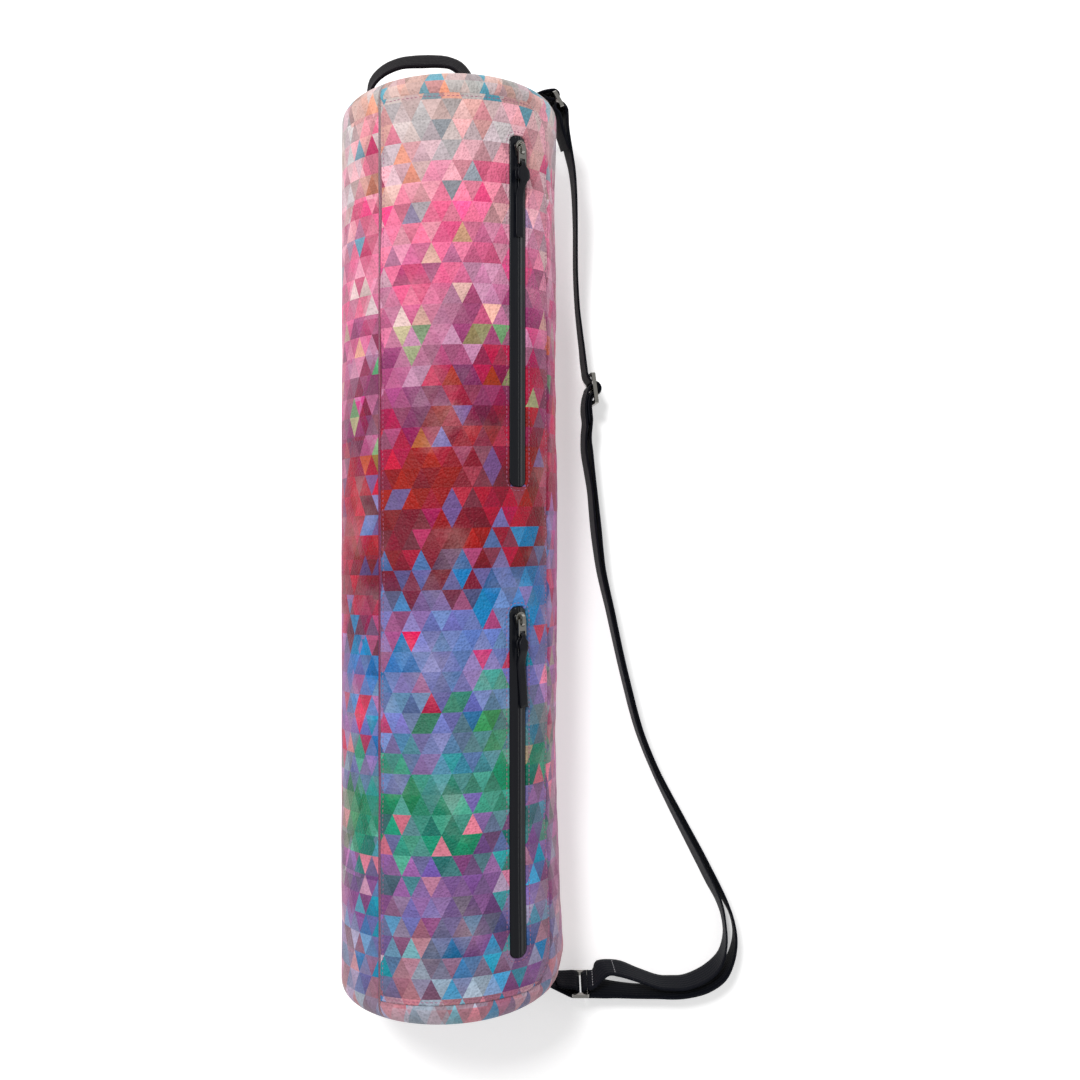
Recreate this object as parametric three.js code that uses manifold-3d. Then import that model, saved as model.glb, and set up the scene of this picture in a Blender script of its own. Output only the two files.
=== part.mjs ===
// A yoga mat bag: a long soft tube of printed leathercloth with a zipped pocket panel on its
// front, a grab handle on its top end and an adjustable shoulder strap. It lies on its back
// with the strap laid out at its right. Millimetres, +Z up, +Y towards the handle end.
// The origin is the middle of the flattened underside.

import * as THREE from 'three';
import { mergeVertices } from 'three/addons/utils/BufferGeometryUtils.js';
import Module from 'manifold-3d';

const wasm = await Module();
wasm.setup();

// The tube
const bodyLength = 670;
const bodyRadius = 82;
const underFlat = 6; // how far the tube's weight presses its underside flat
const clothThick = 2;
const rimRadius = 12; // rounding from the side into each end
const endSkew = 0.03; // rise per millimetre to the right, the sheared ends of a soft tube
const sewnGap = 0.3; // between pieces that meet edge to edge
const layerGap = 0.5; // between curved layers that lie on each other

// The pocket panel on the front. Turns are degrees from the front, positive to the right.
const panelThick = 1.4;
const panelLeftTurn = -32.5;
const panelRightTurn = 63;
const panelEndInset = 13.5;
const panelCorner = 28;

// Zips
const pocketZipTurn = 40;
const pocketZipInset = 26.5; // from the panel's end edge to the window
const pocketZipLength = 252;
const pocketZipWidth = 15;
const mainZipTurn = 116;
const mainZipEndInset = 36; // from each end of the tube to the opening
const mainZipWidth = 11;
const zipEndRadius = 5.4;
const tapeThick = 1;
const coilWidth = 4.6;
const coilRise = 0.8;

// Zip sliders, their metal pullers and the cloth tabs on them
const sliderWidth = 9;
const sliderLength = 11.5;
const sliderThick = 2;
const sliderInset = 9.5; // from the window's upper end to the slider's middle
const bridgeWidth = 2.4;
const bridgeSpan = 8;
const bridgeWall = 1.3;
const pullerWidth = 7;
const pullerLength = 13;
const pullerThick = 1.2;
const pullClothThick = 0.9;
const pullTabLength = 52;
const pullTabs = { // wide by the puller for the length of the tail, narrow below it; slant per millimetre
  upper: { wide: 9.8, narrow: 7, tail: 11, slant: 0 },
  lower: { wide: 8, narrow: 7.6, tail: 9, slant: 0.09 },
  main: { wide: 8, narrow: 7.6, tail: 9, slant: 0 },
};

// Webbing, rings and the strap adjuster
const webWidth = 25;
const webThick = 1.6;
const barWidth = 3.2;
const barThick = 3;
const ringOpening = 7.6;
const adjusterOpening = 7.8;
const barSlack = 1; // how much longer a bar is than the webbing is wide
const floorGap = 0.3; // between the strap's lower edge and what the bag lies on

// Grab handle on the top end
const handleSpan = 79;
const handleRise = 30.6;
const handleShift = -18.5; // its middle from the tube's middle
const handleForward = 19; // its middle from the tube's axis
const handleThick = 2.4;
const handleTwist = 39;

// Places of the rings, from the tube's side, its end and the surface below
const topRing = { aside: -2, beyond: 9, lift: 60, turn: -62, lean: 14 };
const bottomRing = { aside: 19.8, beyond: 19, lift: 18, turn: 0, lean: 18 };
const adjuster = { aside: 1.3561, along: 0.383, lift: 16.7, turn: -83, lean: 8 }; // shares as in the routes
const anchorPad = 20; // webbing sewn flat on the end
const topAnchor = { above: -10, from: 0.26, arrive: 0 };
const bottomAnchor = { above: -36, from: 0.26, arrive: -18 };
const sewnLength = 33; // the strap's ply that is folded back and sewn down
const tabSewnLength = 24;

const halfLength = bodyLength / 2;
const axisHeight = bodyRadius - underFlat;
const discRadius = bodyRadius - rimRadius - sewnGap;
const panelTop = layerGap + panelThick;
const straightHalf = halfLength - rimRadius;
const ringFold = barWidth / 2 + ringOpening / 2 - 2 * sewnGap - webThick / 2; // loose folds that fill the ring
const foldRadius = 1.05 * (Math.hypot(barWidth, barThick) / 2 + sewnGap + webThick / 2);
const panelColumns = 10;
const restColumns = 24;
const bodyRowStep = 35;
const strapStep = 14.5;
const handleStep = 9;

// Soft folds and bulges of the tube. turn: degrees from the front. along: share of the half
// length. deep: share of the radius, inwards. wide and long: across and along the fold,
// shares of the radius. slant: degrees from level.
const folds = [
  { turn: 14, along: 0.052, deep: 0.021, wide: 0.1, long: 0.85, slant: 4 },
  { turn: 6, along: -0.06, deep: 0.021, wide: 0.1, long: 0.95, slant: 1 },
  { turn: -44, along: 0.7, deep: 0.022, wide: 0.22, long: 0.7, slant: 48 },
  { turn: -20, along: 0.42, deep: 0.016, wide: 0.25, long: 0.8, slant: 30 },
  { turn: 84, along: 0.8, deep: 0.03, wide: 0.24, long: 0.8, slant: -62 },
  { turn: 82, along: 0.45, deep: 0.02, wide: 0.26, long: 0.9, slant: -70 },
  { turn: 80, along: -0.5, deep: 0.018, wide: 0.26, long: 0.8, slant: 55 },
  { turn: 92, along: -0.95, deep: -0.058, wide: 0.75, long: 0.9, slant: 90 },
  { turn: -70, along: -0.35, deep: 0.014, wide: 0.3, long: 0.9, slant: 60 },
  { turn: -120, along: 0.1, deep: 0.02, wide: 0.35, long: 1.1, slant: 75 },
  { turn: 135, along: -0.15, deep: 0.02, wide: 0.35, long: 1.1, slant: 80 },
];

// Handle, as shares of its span and its rise, and of its full twist
const handleRows = [
  { across: -0.31, rise: 0, twist: 0 },
  { across: -0.43, rise: 0.005, twist: 0 },
  { across: -0.475, rise: 0.04, twist: 0 },
  { across: -0.5, rise: 0.12, twist: 0.1 },
  { across: -0.505, rise: 0.3, twist: 0.4 },
  { across: -0.46, rise: 0.6, twist: 0.75 },
  { across: -0.36, rise: 0.83, twist: 0.9 },
  { across: -0.22, rise: 0.97, twist: 0.95 },
  { across: 0, rise: 1, twist: 1 },
  { across: 0.2, rise: 0.97, twist: 0.95 },
  { across: 0.31, rise: 0.87, twist: 0.85 },
  { across: 0.4, rise: 0.62, twist: 0.65 },
  { across: 0.46, rise: 0.32, twist: 0.35 },
  { across: 0.485, rise: 0.12, twist: 0.1 },
  { across: 0.46, rise: 0.04, twist: 0 },
  { across: 0.415, rise: 0.005, twist: 0 },
  { across: 0.3, rise: 0, twist: 0 },
];

// Upper strap from the top ring to the adjuster. along: share of the half length. aside:
// share of the radius. lift: 0 standing on the surface, 1 as high as the ring. lean: degrees.
const upperRoute = [
  { along: 0.987, aside: 1.075, lift: 0.95, lean: 12 },
  { along: 0.933, aside: 1.112, lift: 0.85, lean: 10 },
  { along: 0.89, aside: 1.151, lift: 0.76, lean: 7 },
  { along: 0.846, aside: 1.172, lift: 0.68, lean: 6 },
  { along: 0.757, aside: 1.187, lift: 0.51, lean: 5 },
  { along: 0.666, aside: 1.191, lift: 0.35, lean: 5 },
  { along: 0.575, aside: 1.213, lift: 0.2, lean: 5 },
  { along: 0.484, aside: 1.258, lift: 0.08, lean: 7 },
];

// Middle line of the doubled strap from the adjuster to the bottom ring. spread: between the
// two plies, share of the webbing's width. lift: 1 as high as the adjuster or the ring.
const doubleRoute = [
  { along: 0.27, aside: 1.302, spread: 0.15, lift: 0.5, lean: 8 },
  { along: 0.235, aside: 1.31, spread: 0.19, lift: 0.1, lean: 8 },
  { along: 0.141, aside: 1.361, spread: 0.12, lift: 0, lean: 8 },
  { along: 0.044, aside: 1.401, spread: 0.15, lift: 0, lean: 8 },
  { along: -0.054, aside: 1.451, spread: 0.115, lift: 0, lean: 7 },
  { along: -0.151, aside: 1.54, spread: 0.105, lift: 0, lean: 6 },
  { along: -0.249, aside: 1.626, spread: 0.105, lift: 0, lean: 5 },
  { along: -0.346, aside: 1.72, spread: 0.105, lift: 0, lean: 5 },
  { along: -0.444, aside: 1.829, spread: 0.105, lift: 0, lean: 5 },
  { along: -0.541, aside: 1.988, spread: 0.12, lift: 0, lean: 5 },
  { along: -0.639, aside: 2.188, spread: 0.13, lift: 0, lean: 9 },
  { along: -0.736, aside: 2.395, spread: 0.13, lift: 0, lean: 12 },
  { along: -0.818, aside: 2.565, spread: 0.14, lift: 0, lean: 12 },
  { along: -0.862, aside: 2.655, spread: 0.19, lift: 0, lean: 6 },
  { along: -0.904, aside: 2.713, spread: 0.28, lift: 0, lean: 0 },
  { along: -0.951, aside: 2.735, spread: 0.32, lift: 0, lean: -1 },
  { along: -0.997, aside: 2.695, spread: 0.32, lift: 0, lean: 3 },
  { along: -1.029, aside: 2.613, spread: 0.34, lift: 0, lean: 10 },
  { along: -1.053, aside: 2.476, spread: 0.32, lift: 0, lean: 11 },
  { along: -1.068, aside: 2.293, spread: 0.26, lift: 0, lean: 10 },
  { along: -1.069, aside: 2.024, spread: 0.3, lift: 0, lean: 8 },
  { along: -1.06, aside: 1.805, spread: 0.53, lift: 0, lean: 8 },
  { along: -1.049, aside: 1.598, spread: 0.7, lift: 0.15, lean: 12 },
  { along: -1.046, aside: 1.451, spread: 0.64, lift: 0.5, lean: 18 },
];

const colours = {
  print: 0xd0708c,
  panel: 0xc8647f,
  disc: 0xd98a9c,
  tape: 0x121214,
  webbing: 0x101012,
  metal: 0xb9b9b4,
};
const cloth = (colour) => new THREE.MeshStandardMaterial({ color: colour, roughness: 0.6, metalness: 0 });
const metal = new THREE.MeshStandardMaterial({ color: colours.metal, roughness: 0.28, metalness: 1 });
const webbing = new THREE.MeshStandardMaterial({ color: colours.webbing, roughness: 0.8, metalness: 0 });

const group = new THREE.Group();

function addMesh(name, geometry, material) {
  const mesh = new THREE.Mesh(geometry, material);
  mesh.name = name;
  group.add(mesh);
  return mesh;
}

const radians = THREE.MathUtils.degToRad;
const upward = new THREE.Vector3(0, 0, 1);

// How far a fold takes the cloth inwards at a place on the tube
function foldDepth(turn, along) {
  const fromEnd = THREE.MathUtils.clamp((halfLength - Math.abs(along)) / (2 * rimRadius), 0, 1);
  let depth = 0;
  for (const fold of folds) {
    const sideways = radians(turn - fold.turn) * bodyRadius;
    const lengthways = along - fold.along * halfLength;
    const slant = radians(fold.slant);
    const down = sideways * Math.cos(slant) + lengthways * Math.sin(slant);
    const across = lengthways * Math.cos(slant) - sideways * Math.sin(slant);
    const reach = (down / (fold.long * bodyRadius)) ** 2 + (across / (fold.wide * bodyRadius)) ** 2;
    depth += fold.deep * bodyRadius * Math.exp(-reach);
  }
  return depth * fromEnd;
}

// A point on the tube: out is outwards from its smooth side, and floor is the lowest height
function skin(turn, along, out, floor = 0) {
  const reach = bodyRadius - foldDepth(turn, along) + out;
  const x = reach * Math.sin(radians(turn));
  const z = Math.max(axisHeight + reach * Math.cos(radians(turn)), floor);
  return new THREE.Vector3(x, along + endSkew * x, z);
}

const turnOf = (distance) => THREE.MathUtils.radToDeg(distance / bodyRadius);

// Shares from 0 to 1 in equal steps
const evenShares = (count) => Array.from({ length: count + 1 }, (_, k) => k / count);

// Turns of the points round the tube: across the panel, then across the rest of the tube
const turnsRound = [
  ...evenShares(panelColumns).map((k) => THREE.MathUtils.lerp(panelLeftTurn, panelRightTurn, k)),
  ...evenShares(restColumns).slice(1, -1).map((k) => THREE.MathUtils.lerp(panelRightTurn, panelLeftTurn + 360, k)),
];

// A closed mesh from rings of points. The rings either close on each other, or end in caps
// where the first half of the ring is joined straight across to its second half.
function loft(rings, ringsClose = false) {
  const size = rings[0].length;
  const index = [];
  const quad = (a, b, c, d) => index.push(a, b, c, a, c, d);
  const last = ringsClose ? rings.length : rings.length - 1;
  for (let row = 0; row < last; row++) {
    const here = row * size;
    const there = ((row + 1) % rings.length) * size;
    for (let k = 0; k < size; k++) {
      const next = (k + 1) % size;
      quad(here + k, there + k, there + next, here + next);
    }
  }
  if (!ringsClose) {
    const top = (rings.length - 1) * size;
    for (let k = 0; k < size / 2 - 1; k++) {
      quad(k, k + 1, size - 2 - k, size - 1 - k);
      quad(top + size - 1 - k, top + size - 2 - k, top + k + 1, top + k);
    }
  }
  const points = rings.flat().flatMap((p) => [p.x, p.y, p.z]);
  return faceOutwards(points, index);
}

function faceOutwards(points, index) {
  const corner = (k) => new THREE.Vector3().fromArray(points, 3 * index[k]);
  let volume = 0;
  for (let k = 0; k < index.length; k += 3) {
    volume += corner(k).dot(corner(k + 1).cross(corner(k + 2)));
  }
  if (volume < 0) {
    index.reverse();
  }
  const geometry = new THREE.BufferGeometry();
  geometry.setAttribute('position', new THREE.Float32BufferAttribute(points, 3));
  geometry.setIndex(index);
  geometry.computeVertexNormals();
  return geometry;
}

function solidOf(geometry) {
  const plain = geometry.clone();
  for (const name of Object.keys(plain.attributes)) {
    if (name !== 'position') {
      plain.deleteAttribute(name);
    }
  }
  const merged = mergeVertices(plain, 1e-4);
  return new wasm.Manifold(new wasm.Mesh({
    numProp: 3,
    vertProperties: new Float32Array(merged.attributes.position.array),
    triVerts: new Uint32Array(merged.index.array),
  }));
}

function geometryOf(solid) {
  const mesh = solid.getMesh();
  const geometry = new THREE.BufferGeometry();
  geometry.setAttribute('position', new THREE.BufferAttribute(new Float32Array(mesh.vertProperties), 3));
  geometry.setIndex(new THREE.BufferAttribute(new Uint32Array(mesh.triVerts), 1));
  geometry.computeVertexNormals();
  return geometry;
}

// Places along the tube where rows of points are needed
const panelEnd = halfLength - panelEndInset;
function rowsAlong(step) {
  const rows = [];
  const count = Math.round(2 * straightHalf / step);
  for (let k = 0; k <= count; k++) {
    rows.push(-straightHalf + 2 * straightHalf * k / count);
  }
  return rows;
}

function creaseRows() {
  const offsets = [-0.12, 0, 0.12];
  const level = folds.filter((fold) => fold.slant < 10 && fold.wide < 0.15);
  return level.flatMap((fold) => offsets.map((k) => fold.along * halfLength + k * bodyRadius));
}

// Rows in order, without any that crowd the one before
function sorted(rows, closest) {
  const ordered = [...rows].sort((a, b) => a - b);
  return ordered.filter((row, k) => k === 0 || row - ordered[k - 1] > closest);
}

const wideRows = rowsAlong(bodyRowStep);
const crowded = (row) => Math.abs(Math.abs(row) - panelEnd) < 8;
const openRows = sorted([...wideRows, ...creaseRows()], 4).filter((row) => !crowded(row));
const fineRows = sorted([...openRows, -straightHalf, -panelEnd, panelEnd, straightHalf], 0.1);

// The wrap, a hollow tube open at both ends, with its ends rolled in to hold the end discs
function makeBodyShell() {
  const profile = [];
  const rollSteps = 4;
  const innerRoll = rimRadius - clothThick;
  for (let k = 0; k < rollSteps; k++) {
    const roll = Math.PI / 2 * (1 - k / rollSteps);
    profile.push([-straightHalf - rimRadius * Math.sin(roll), -rimRadius * (1 - Math.cos(roll)), 0]);
  }
  fineRows.forEach((row) => profile.push([row, 0, 0]));
  for (let k = 1; k <= rollSteps; k++) {
    const roll = Math.PI / 2 * k / rollSteps;
    profile.push([straightHalf + rimRadius * Math.sin(roll), -rimRadius * (1 - Math.cos(roll)), 0]);
  }
  const rollInside = (side, k) => {
    const roll = Math.PI / 2 * k / 2;
    const out = -clothThick - innerRoll * (1 - Math.cos(roll));
    profile.push([side * (straightHalf + innerRoll * Math.sin(roll)), out, clothThick]);
  };
  [2, 1].forEach((k) => rollInside(1, k));
  [...wideRows].reverse().forEach((row) => profile.push([row, -clothThick, clothThick]));
  [1, 2].forEach((k) => rollInside(-1, k));
  return loft(profile.map(([along, out, floor]) => (
    turnsRound.map((turn) => skin(turn, along, out, floor)))), true);
}

function makeDisc(end) {
  const rim = turnsRound.map(radians).map((turn) => [discRadius * Math.sin(turn), discRadius * Math.cos(turn)]);
  const outline = new THREE.Shape(rim.map(([x, z]) => new THREE.Vector2(x, z)));
  const disc = new THREE.ExtrudeGeometry(outline, { depth: clothThick, bevelEnabled: false });
  const place = disc.attributes.position;
  for (let k = 0; k < place.count; k++) {
    const x = place.getX(k);
    const along = end * (halfLength - clothThick) + end * place.getZ(k);
    place.setXYZ(k, x, along + endSkew * x, axisHeight + place.getY(k));
  }
  disc.deleteAttribute('normal');
  disc.deleteAttribute('uv');
  const merged = mergeVertices(disc, 1e-4);
  return faceOutwards([...merged.attributes.position.array], [...merged.index.array]);
}

// A plate that lies on the tube. Each row gives its place along and its left and right turn;
// lifts gives the outer height at each share of the width.
function plateOnBody(rows, shares, inner, outerAt) {
  return loft(rows.map(({ along, left, right }) => {
    const turns = shares.map((share) => left + share * (right - left));
    const outer = turns.map((turn, k) => skin(turn, along, outerAt(k)));
    const under = turns.map((turn) => skin(turn, along, inner));
    return [...outer, ...under.reverse()];
  }));
}

function makePanelSheet() {
  const rows = fineRows.filter((row) => Math.abs(row) < panelEnd + 0.1);
  const whole = rows.map((along) => ({ along, left: panelLeftTurn, right: panelRightTurn }));
  return plateOnBody(whole, evenShares(panelColumns), layerGap, () => panelTop);
}

// What is cut away to round one of the panel's right corners
function cornerCutter(end) {
  const steps = 8;
  const clear = 5;
  const rows = [];
  for (let k = 0; k <= steps; k++) {
    const angle = Math.PI / 2 * k / steps;
    const along = end * (panelEnd - panelCorner * (1 - Math.sin(angle)));
    const cut = panelCorner * (1 - Math.cos(angle));
    rows.push({ along, left: panelRightTurn - turnOf(cut), right: panelRightTurn + clear });
  }
  rows.push({ ...rows[steps], along: end * (panelEnd + clear) });
  return solidOf(plateOnBody(rows, evenShares(4), layerGap - clear, () => panelTop + clear));
}

// Half width of a window with rounded ends, at a distance from its end
function windowHalf(fromEnd, width, radius) {
  const left = radius - Math.min(fromEnd, radius);
  return width / 2 - radius + Math.sqrt(Math.max(radius ** 2 - left ** 2, 0));
}

// Rows of a zip's window, or of the zip in it, from its lower to its upper end
function windowRows(zip, shrink) {
  const low = zip.low + shrink;
  const high = zip.high - shrink;
  const radius = zipEndRadius - shrink;
  const ends = [0, 0.07, 0.3, 1].map((k) => k * radius);
  const middle = fineRows.filter((row) => row > low + 2 * radius && row < high - 2 * radius);
  const rows = [...ends.map((k) => low + k), ...middle, ...ends.map((k) => high - k).reverse()];
  return rows.map((along) => {
    const half = windowHalf(Math.min(along - low, high - along), zip.width - 2 * shrink, radius);
    const reach = turnOf(Math.max(half, 1));
    return { along, left: zip.turn - reach, right: zip.turn + reach };
  });
}

function windowCutter(zip) {
  const clear = 5;
  return solidOf(plateOnBody(windowRows(zip, 0), evenShares(2), -clothThick - clear, () => panelTop + clear));
}

// Tape and closed coil in one strip, seated in its window
function makeZip(zip) {
  const half = zip.width / 2 - sewnGap;
  const coil = 0.5 * coilWidth / half;
  const shares = [0, 0.5 - coil / 2, 0.5 - coil * 0.4, 0.5 + coil * 0.4, 0.5 + coil / 2, 1];
  const rise = (k) => zip.seat + tapeThick + (k === 2 || k === 3 ? coilRise : 0);
  return plateOnBody(windowRows(zip, sewnGap), shares, zip.seat, rise);
}

const panelZip = (low) => ({
  turn: pocketZipTurn, width: pocketZipWidth, low, high: low + pocketZipLength, seat: layerGap,
});
const upperZip = panelZip(panelEnd - pocketZipInset - pocketZipLength);
const lowerZip = panelZip(pocketZipInset - panelEnd);
const mainZip = {
  turn: mainZipTurn,
  width: mainZipWidth,
  low: mainZipEndInset - halfLength,
  high: halfLength - mainZipEndInset,
  seat: -clothThick,
};

// Axes on the tube's side: x around it, y along it, z outwards
function axesOn(turn, along, out) {
  const centre = skin(turn, along, out);
  const x = skin(turn + 1, along, out).sub(skin(turn - 1, along, out)).normalize();
  const lengthways = new THREE.Vector3(0, 1, 0);
  const z = new THREE.Vector3().crossVectors(x, lengthways).normalize();
  const y = new THREE.Vector3().crossVectors(z, x);
  return { centre, x, y, z };
}

function placeOn(mesh, axes) {
  const basis = new THREE.Matrix4().makeBasis(axes.x, axes.y, axes.z);
  mesh.quaternion.setFromRotationMatrix(basis);
  mesh.position.copy(axes.centre);
}

function roundedRectangle(path, width, height, radius, x = 0, y = 0) {
  const w = width / 2;
  const h = height / 2;
  path.moveTo(x - w + radius, y - h);
  path.lineTo(x + w - radius, y - h);
  path.absarc(x + w - radius, y - h + radius, radius, -Math.PI / 2, 0);
  path.lineTo(x + w, y + h - radius);
  path.absarc(x + w - radius, y + h - radius, radius, 0, Math.PI / 2);
  path.lineTo(x - w + radius, y + h);
  path.absarc(x - w + radius, y + h - radius, radius, Math.PI / 2, Math.PI);
  path.lineTo(x - w, y - h + radius);
  path.absarc(x - w + radius, y - h + radius, radius, Math.PI, Math.PI * 1.5);
  return path;
}

// Heights above the slider's underside
const bridgeRoom = pullerThick + 2 * sewnGap;
const pullerLevel = sliderThick + sewnGap;
const pullerHole = bridgeWidth + 4 * sewnGap;
const pullerBar = 1.6;
const pullerSlot = 2.8;
const pullerSlotWidth = pullerWidth - 2.4;
const sliderClear = tapeThick + coilRise + sewnGap; // from the tape's seat to the slider

// A profile drawn in the plane along the zip, made as wide as asked across it
function acrossZip(profile, width) {
  const piece = new THREE.ExtrudeGeometry(profile, { depth: width, bevelEnabled: false, curveSegments: 4 });
  piece.translate(0, 0, -width / 2);
  const along = new THREE.Vector3(0, 1, 0);
  const across = new THREE.Vector3(1, 0, 0);
  return piece.applyMatrix4(new THREE.Matrix4().makeBasis(along, upward, across));
}

// Slider: a plate over the coil, round at its upper end, with a bridge along its middle
function makeSlider() {
  const outline = new THREE.Shape();
  const shoulder = sliderLength / 2 - sliderWidth / 2;
  const foot = 0.36 * sliderWidth;
  outline.moveTo(-foot, -sliderLength / 2);
  outline.lineTo(foot, -sliderLength / 2);
  outline.lineTo(sliderWidth / 2, shoulder);
  outline.absarc(0, shoulder, sliderWidth / 2, 0, Math.PI);
  const plate = new THREE.ExtrudeGeometry(outline, { depth: sliderThick, bevelEnabled: false, curveSegments: 8 });
  const root = 0.5 * sliderThick;
  const high = sliderThick + bridgeRoom + bridgeWall;
  const half = bridgeSpan / 2;
  const bridge = new THREE.Shape();
  bridge.moveTo(-half, root);
  bridge.lineTo(bridgeWall - half, root);
  bridge.lineTo(bridgeWall - half, high - bridgeWall);
  bridge.lineTo(half - bridgeWall, high - bridgeWall);
  bridge.lineTo(half - bridgeWall, root);
  bridge.lineTo(half, root);
  bridge.lineTo(half, high - bridgeWall);
  bridge.lineTo(half - bridgeWall, high);
  bridge.lineTo(bridgeWall - half, high);
  bridge.lineTo(-half, high - bridgeWall);
  return geometryOf(solidOf(plate).add(solidOf(acrossZip(bridge, bridgeWidth))));
}

// Puller: a small plate whose upper bar lies under the bridge, with a slot for the cloth tab
function makePuller() {
  const top = pullerBar / 2;
  const foot = top - pullerLength;
  const plate = roundedRectangle(new THREE.Shape(), pullerWidth, pullerLength, 1.4, 0, (top + foot) / 2);
  const holeHigh = -pullerBar / 2;
  const holeLow = -bridgeSpan / 2 - 2 * sewnGap;
  const hole = roundedRectangle(
    new THREE.Path(), pullerHole, holeHigh - holeLow, 0.4, 0, (holeHigh + holeLow) / 2,
  );
  const slotMiddle = foot + pullerBar + pullerSlot / 2;
  const slot = roundedRectangle(new THREE.Path(), pullerSlotWidth, pullerSlot, 0.4, 0, slotMiddle);
  plate.holes.push(hole, slot);
  const puller = new THREE.ExtrudeGeometry(plate, { depth: pullerThick, bevelEnabled: false, curveSegments: 2 });
  puller.translate(0, 0, pullerLevel);
  return puller;
}

// A flat strip along a path. Each row has its place, its width direction and its width, and
// may give the run that its section stands square to.
function strip(rows, thick) {
  const rings = rows.map(({ place, wide, width, run: given }, k) => {
    const before = rows[Math.max(k - 1, 0)].place;
    const after = rows[Math.min(k + 1, rows.length - 1)].place;
    const run = given ?? after.clone().sub(before).normalize();
    const side = wide.clone().addScaledVector(run, -wide.dot(run)).normalize();
    const face = new THREE.Vector3().crossVectors(run, side);
    const corner = (a, b) => place.clone().addScaledVector(side, a * width / 2).addScaledVector(face, b * thick / 2);
    return [corner(-1, -1), corner(1, -1), corner(1, 1), corner(-1, 1)];
  });
  return loft(rings);
}

// A smooth run through rows of places, with every other value of a row shared out evenly
function smoothRun(rows, step) {
  const curve = new THREE.CatmullRomCurve3(rows.map((row) => row.place), false, 'centripetal');
  const run = [];
  for (let k = 0; k < rows.length - 1; k++) {
    const here = rows[k];
    const next = rows[k + 1];
    const pieces = Math.max(1, Math.round(here.place.distanceTo(next.place) / step));
    for (let j = 0; j < pieces; j++) {
      run.push(blendRows(here, next, j / pieces, curve.getPoint((k + j / pieces) / (rows.length - 1))));
    }
  }
  run.push(rows[rows.length - 1]);
  return run;
}

function blendRows(here, next, share, place) {
  const row = { ...here, place };
  for (const [name, value] of Object.entries(here)) {
    if (typeof value === 'number') {
      row[name] = THREE.MathUtils.lerp(value, next[name], share);
    }
  }
  if (here.wide) {
    row.wide = here.wide.clone().lerp(next.wide, share).normalize();
  }
  return row;
}

// Axes at a slider's underside, clear of the coil under all of it where the zip is creased
function sliderAxes(zip) {
  const along = zip.high - sliderInset;
  const axes = axesOn(zip.turn, along, zip.seat + sliderClear);
  const heights = [-0.5, -0.25, 0, 0.25, 0.5].map((share) => (
    skin(zip.turn, along + share * sliderLength, zip.seat + sliderClear).sub(axes.centre).dot(axes.z)));
  axes.centre.addScaledVector(axes.z, Math.max(...heights));
  return axes;
}

// Cloth tab on a puller: looped through its slot, then lying down over the coil below it
function makePullTab(zip, tab) {
  const fixed = sliderAxes(zip);
  const barAlong = pullerBar - pullerLength;
  const barOut = pullerLevel + pullerThick / 2;
  const barDistance = zip.high - sliderInset + barAlong;
  const ply = Math.hypot(pullerBar, pullerThick) / 2 + sewnGap + pullClothThick / 2;
  const lying = zip.seat + sliderClear + sewnGap + pullClothThick / 2;
  const onBar = (distance, out, width) => {
    const place = fixed.centre.clone().addScaledVector(fixed.y, barAlong + distance);
    return { place: place.addScaledVector(fixed.z, barOut + out), wide: fixed.x, width };
  };
  const onZip = (distance, out) => {
    const turn = zip.turn + turnOf(tab.slant * (distance - tab.tail));
    const axes = axesOn(turn, barDistance - distance, out);
    return { place: axes.centre, wide: axes.x, width: tab.narrow };
  };
  const loop = [-90, -54, -18, 18, 54, 90].map(radians);
  const gathered = pullerSlotWidth - 2 * sewnGap;
  const spread = 2.6 * pullerBar;
  const hanging = (pullTabLength - tab.tail) / pullTabLength;
  const rows = [
    onBar(-tab.tail, -ply, tab.wide),
    onBar(-spread, -ply, tab.wide),
    onBar(-pullerBar, -ply, gathered),
    ...loop.map((a) => onBar(ply * Math.cos(a), ply * Math.sin(a), gathered)),
    onBar(-pullerBar, ply, gathered),
    onBar(-spread, ply, tab.wide),
    onBar(-tab.tail, ply, tab.wide),
    onBar(-tab.tail - sewnGap * 3, ply, tab.narrow),
    onZip(tab.tail + 0.25 * hanging * pullTabLength, lying + sewnGap),
    onZip(tab.tail + 0.6 * hanging * pullTabLength, lying),
    onZip(pullTabLength, lying),
  ];
  return strip(rows, pullClothThick);
}

function addZip(name, zip, tab) {
  addMesh(name, makeZip(zip), cloth(colours.tape));
  const axes = sliderAxes(zip);
  placeOn(addMesh(`${name}_slider`, makeSlider(), metal), axes);
  placeOn(addMesh(`${name}_puller`, makePuller(), metal), axes);
  addMesh(`${name}_pull_tab`, makePullTab(zip, tab), webbing);
}

// Rings and the adjuster: axes with x along the strap, y along the bars and z through
function hardwareAxes(x, y, z, turn, lean) {
  const run = new THREE.Vector3(Math.cos(radians(turn)), Math.sin(radians(turn)), 0);
  return { centre: new THREE.Vector3(x, y, z), run, lean };
}

// The bars lean outwards, away from the tube, as the webbing does
function leaned(axes, strapRun) {
  const outwards = new THREE.Vector3().crossVectors(upward, strapRun);
  const lean = radians(axes.lean);
  const bar = upward.clone().multiplyScalar(Math.cos(lean)).addScaledVector(outwards, Math.sin(lean));
  const face = outwards.clone().multiplyScalar(Math.cos(lean)).addScaledVector(upward, -Math.sin(lean));
  return { ...axes, bar, face };
}

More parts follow.
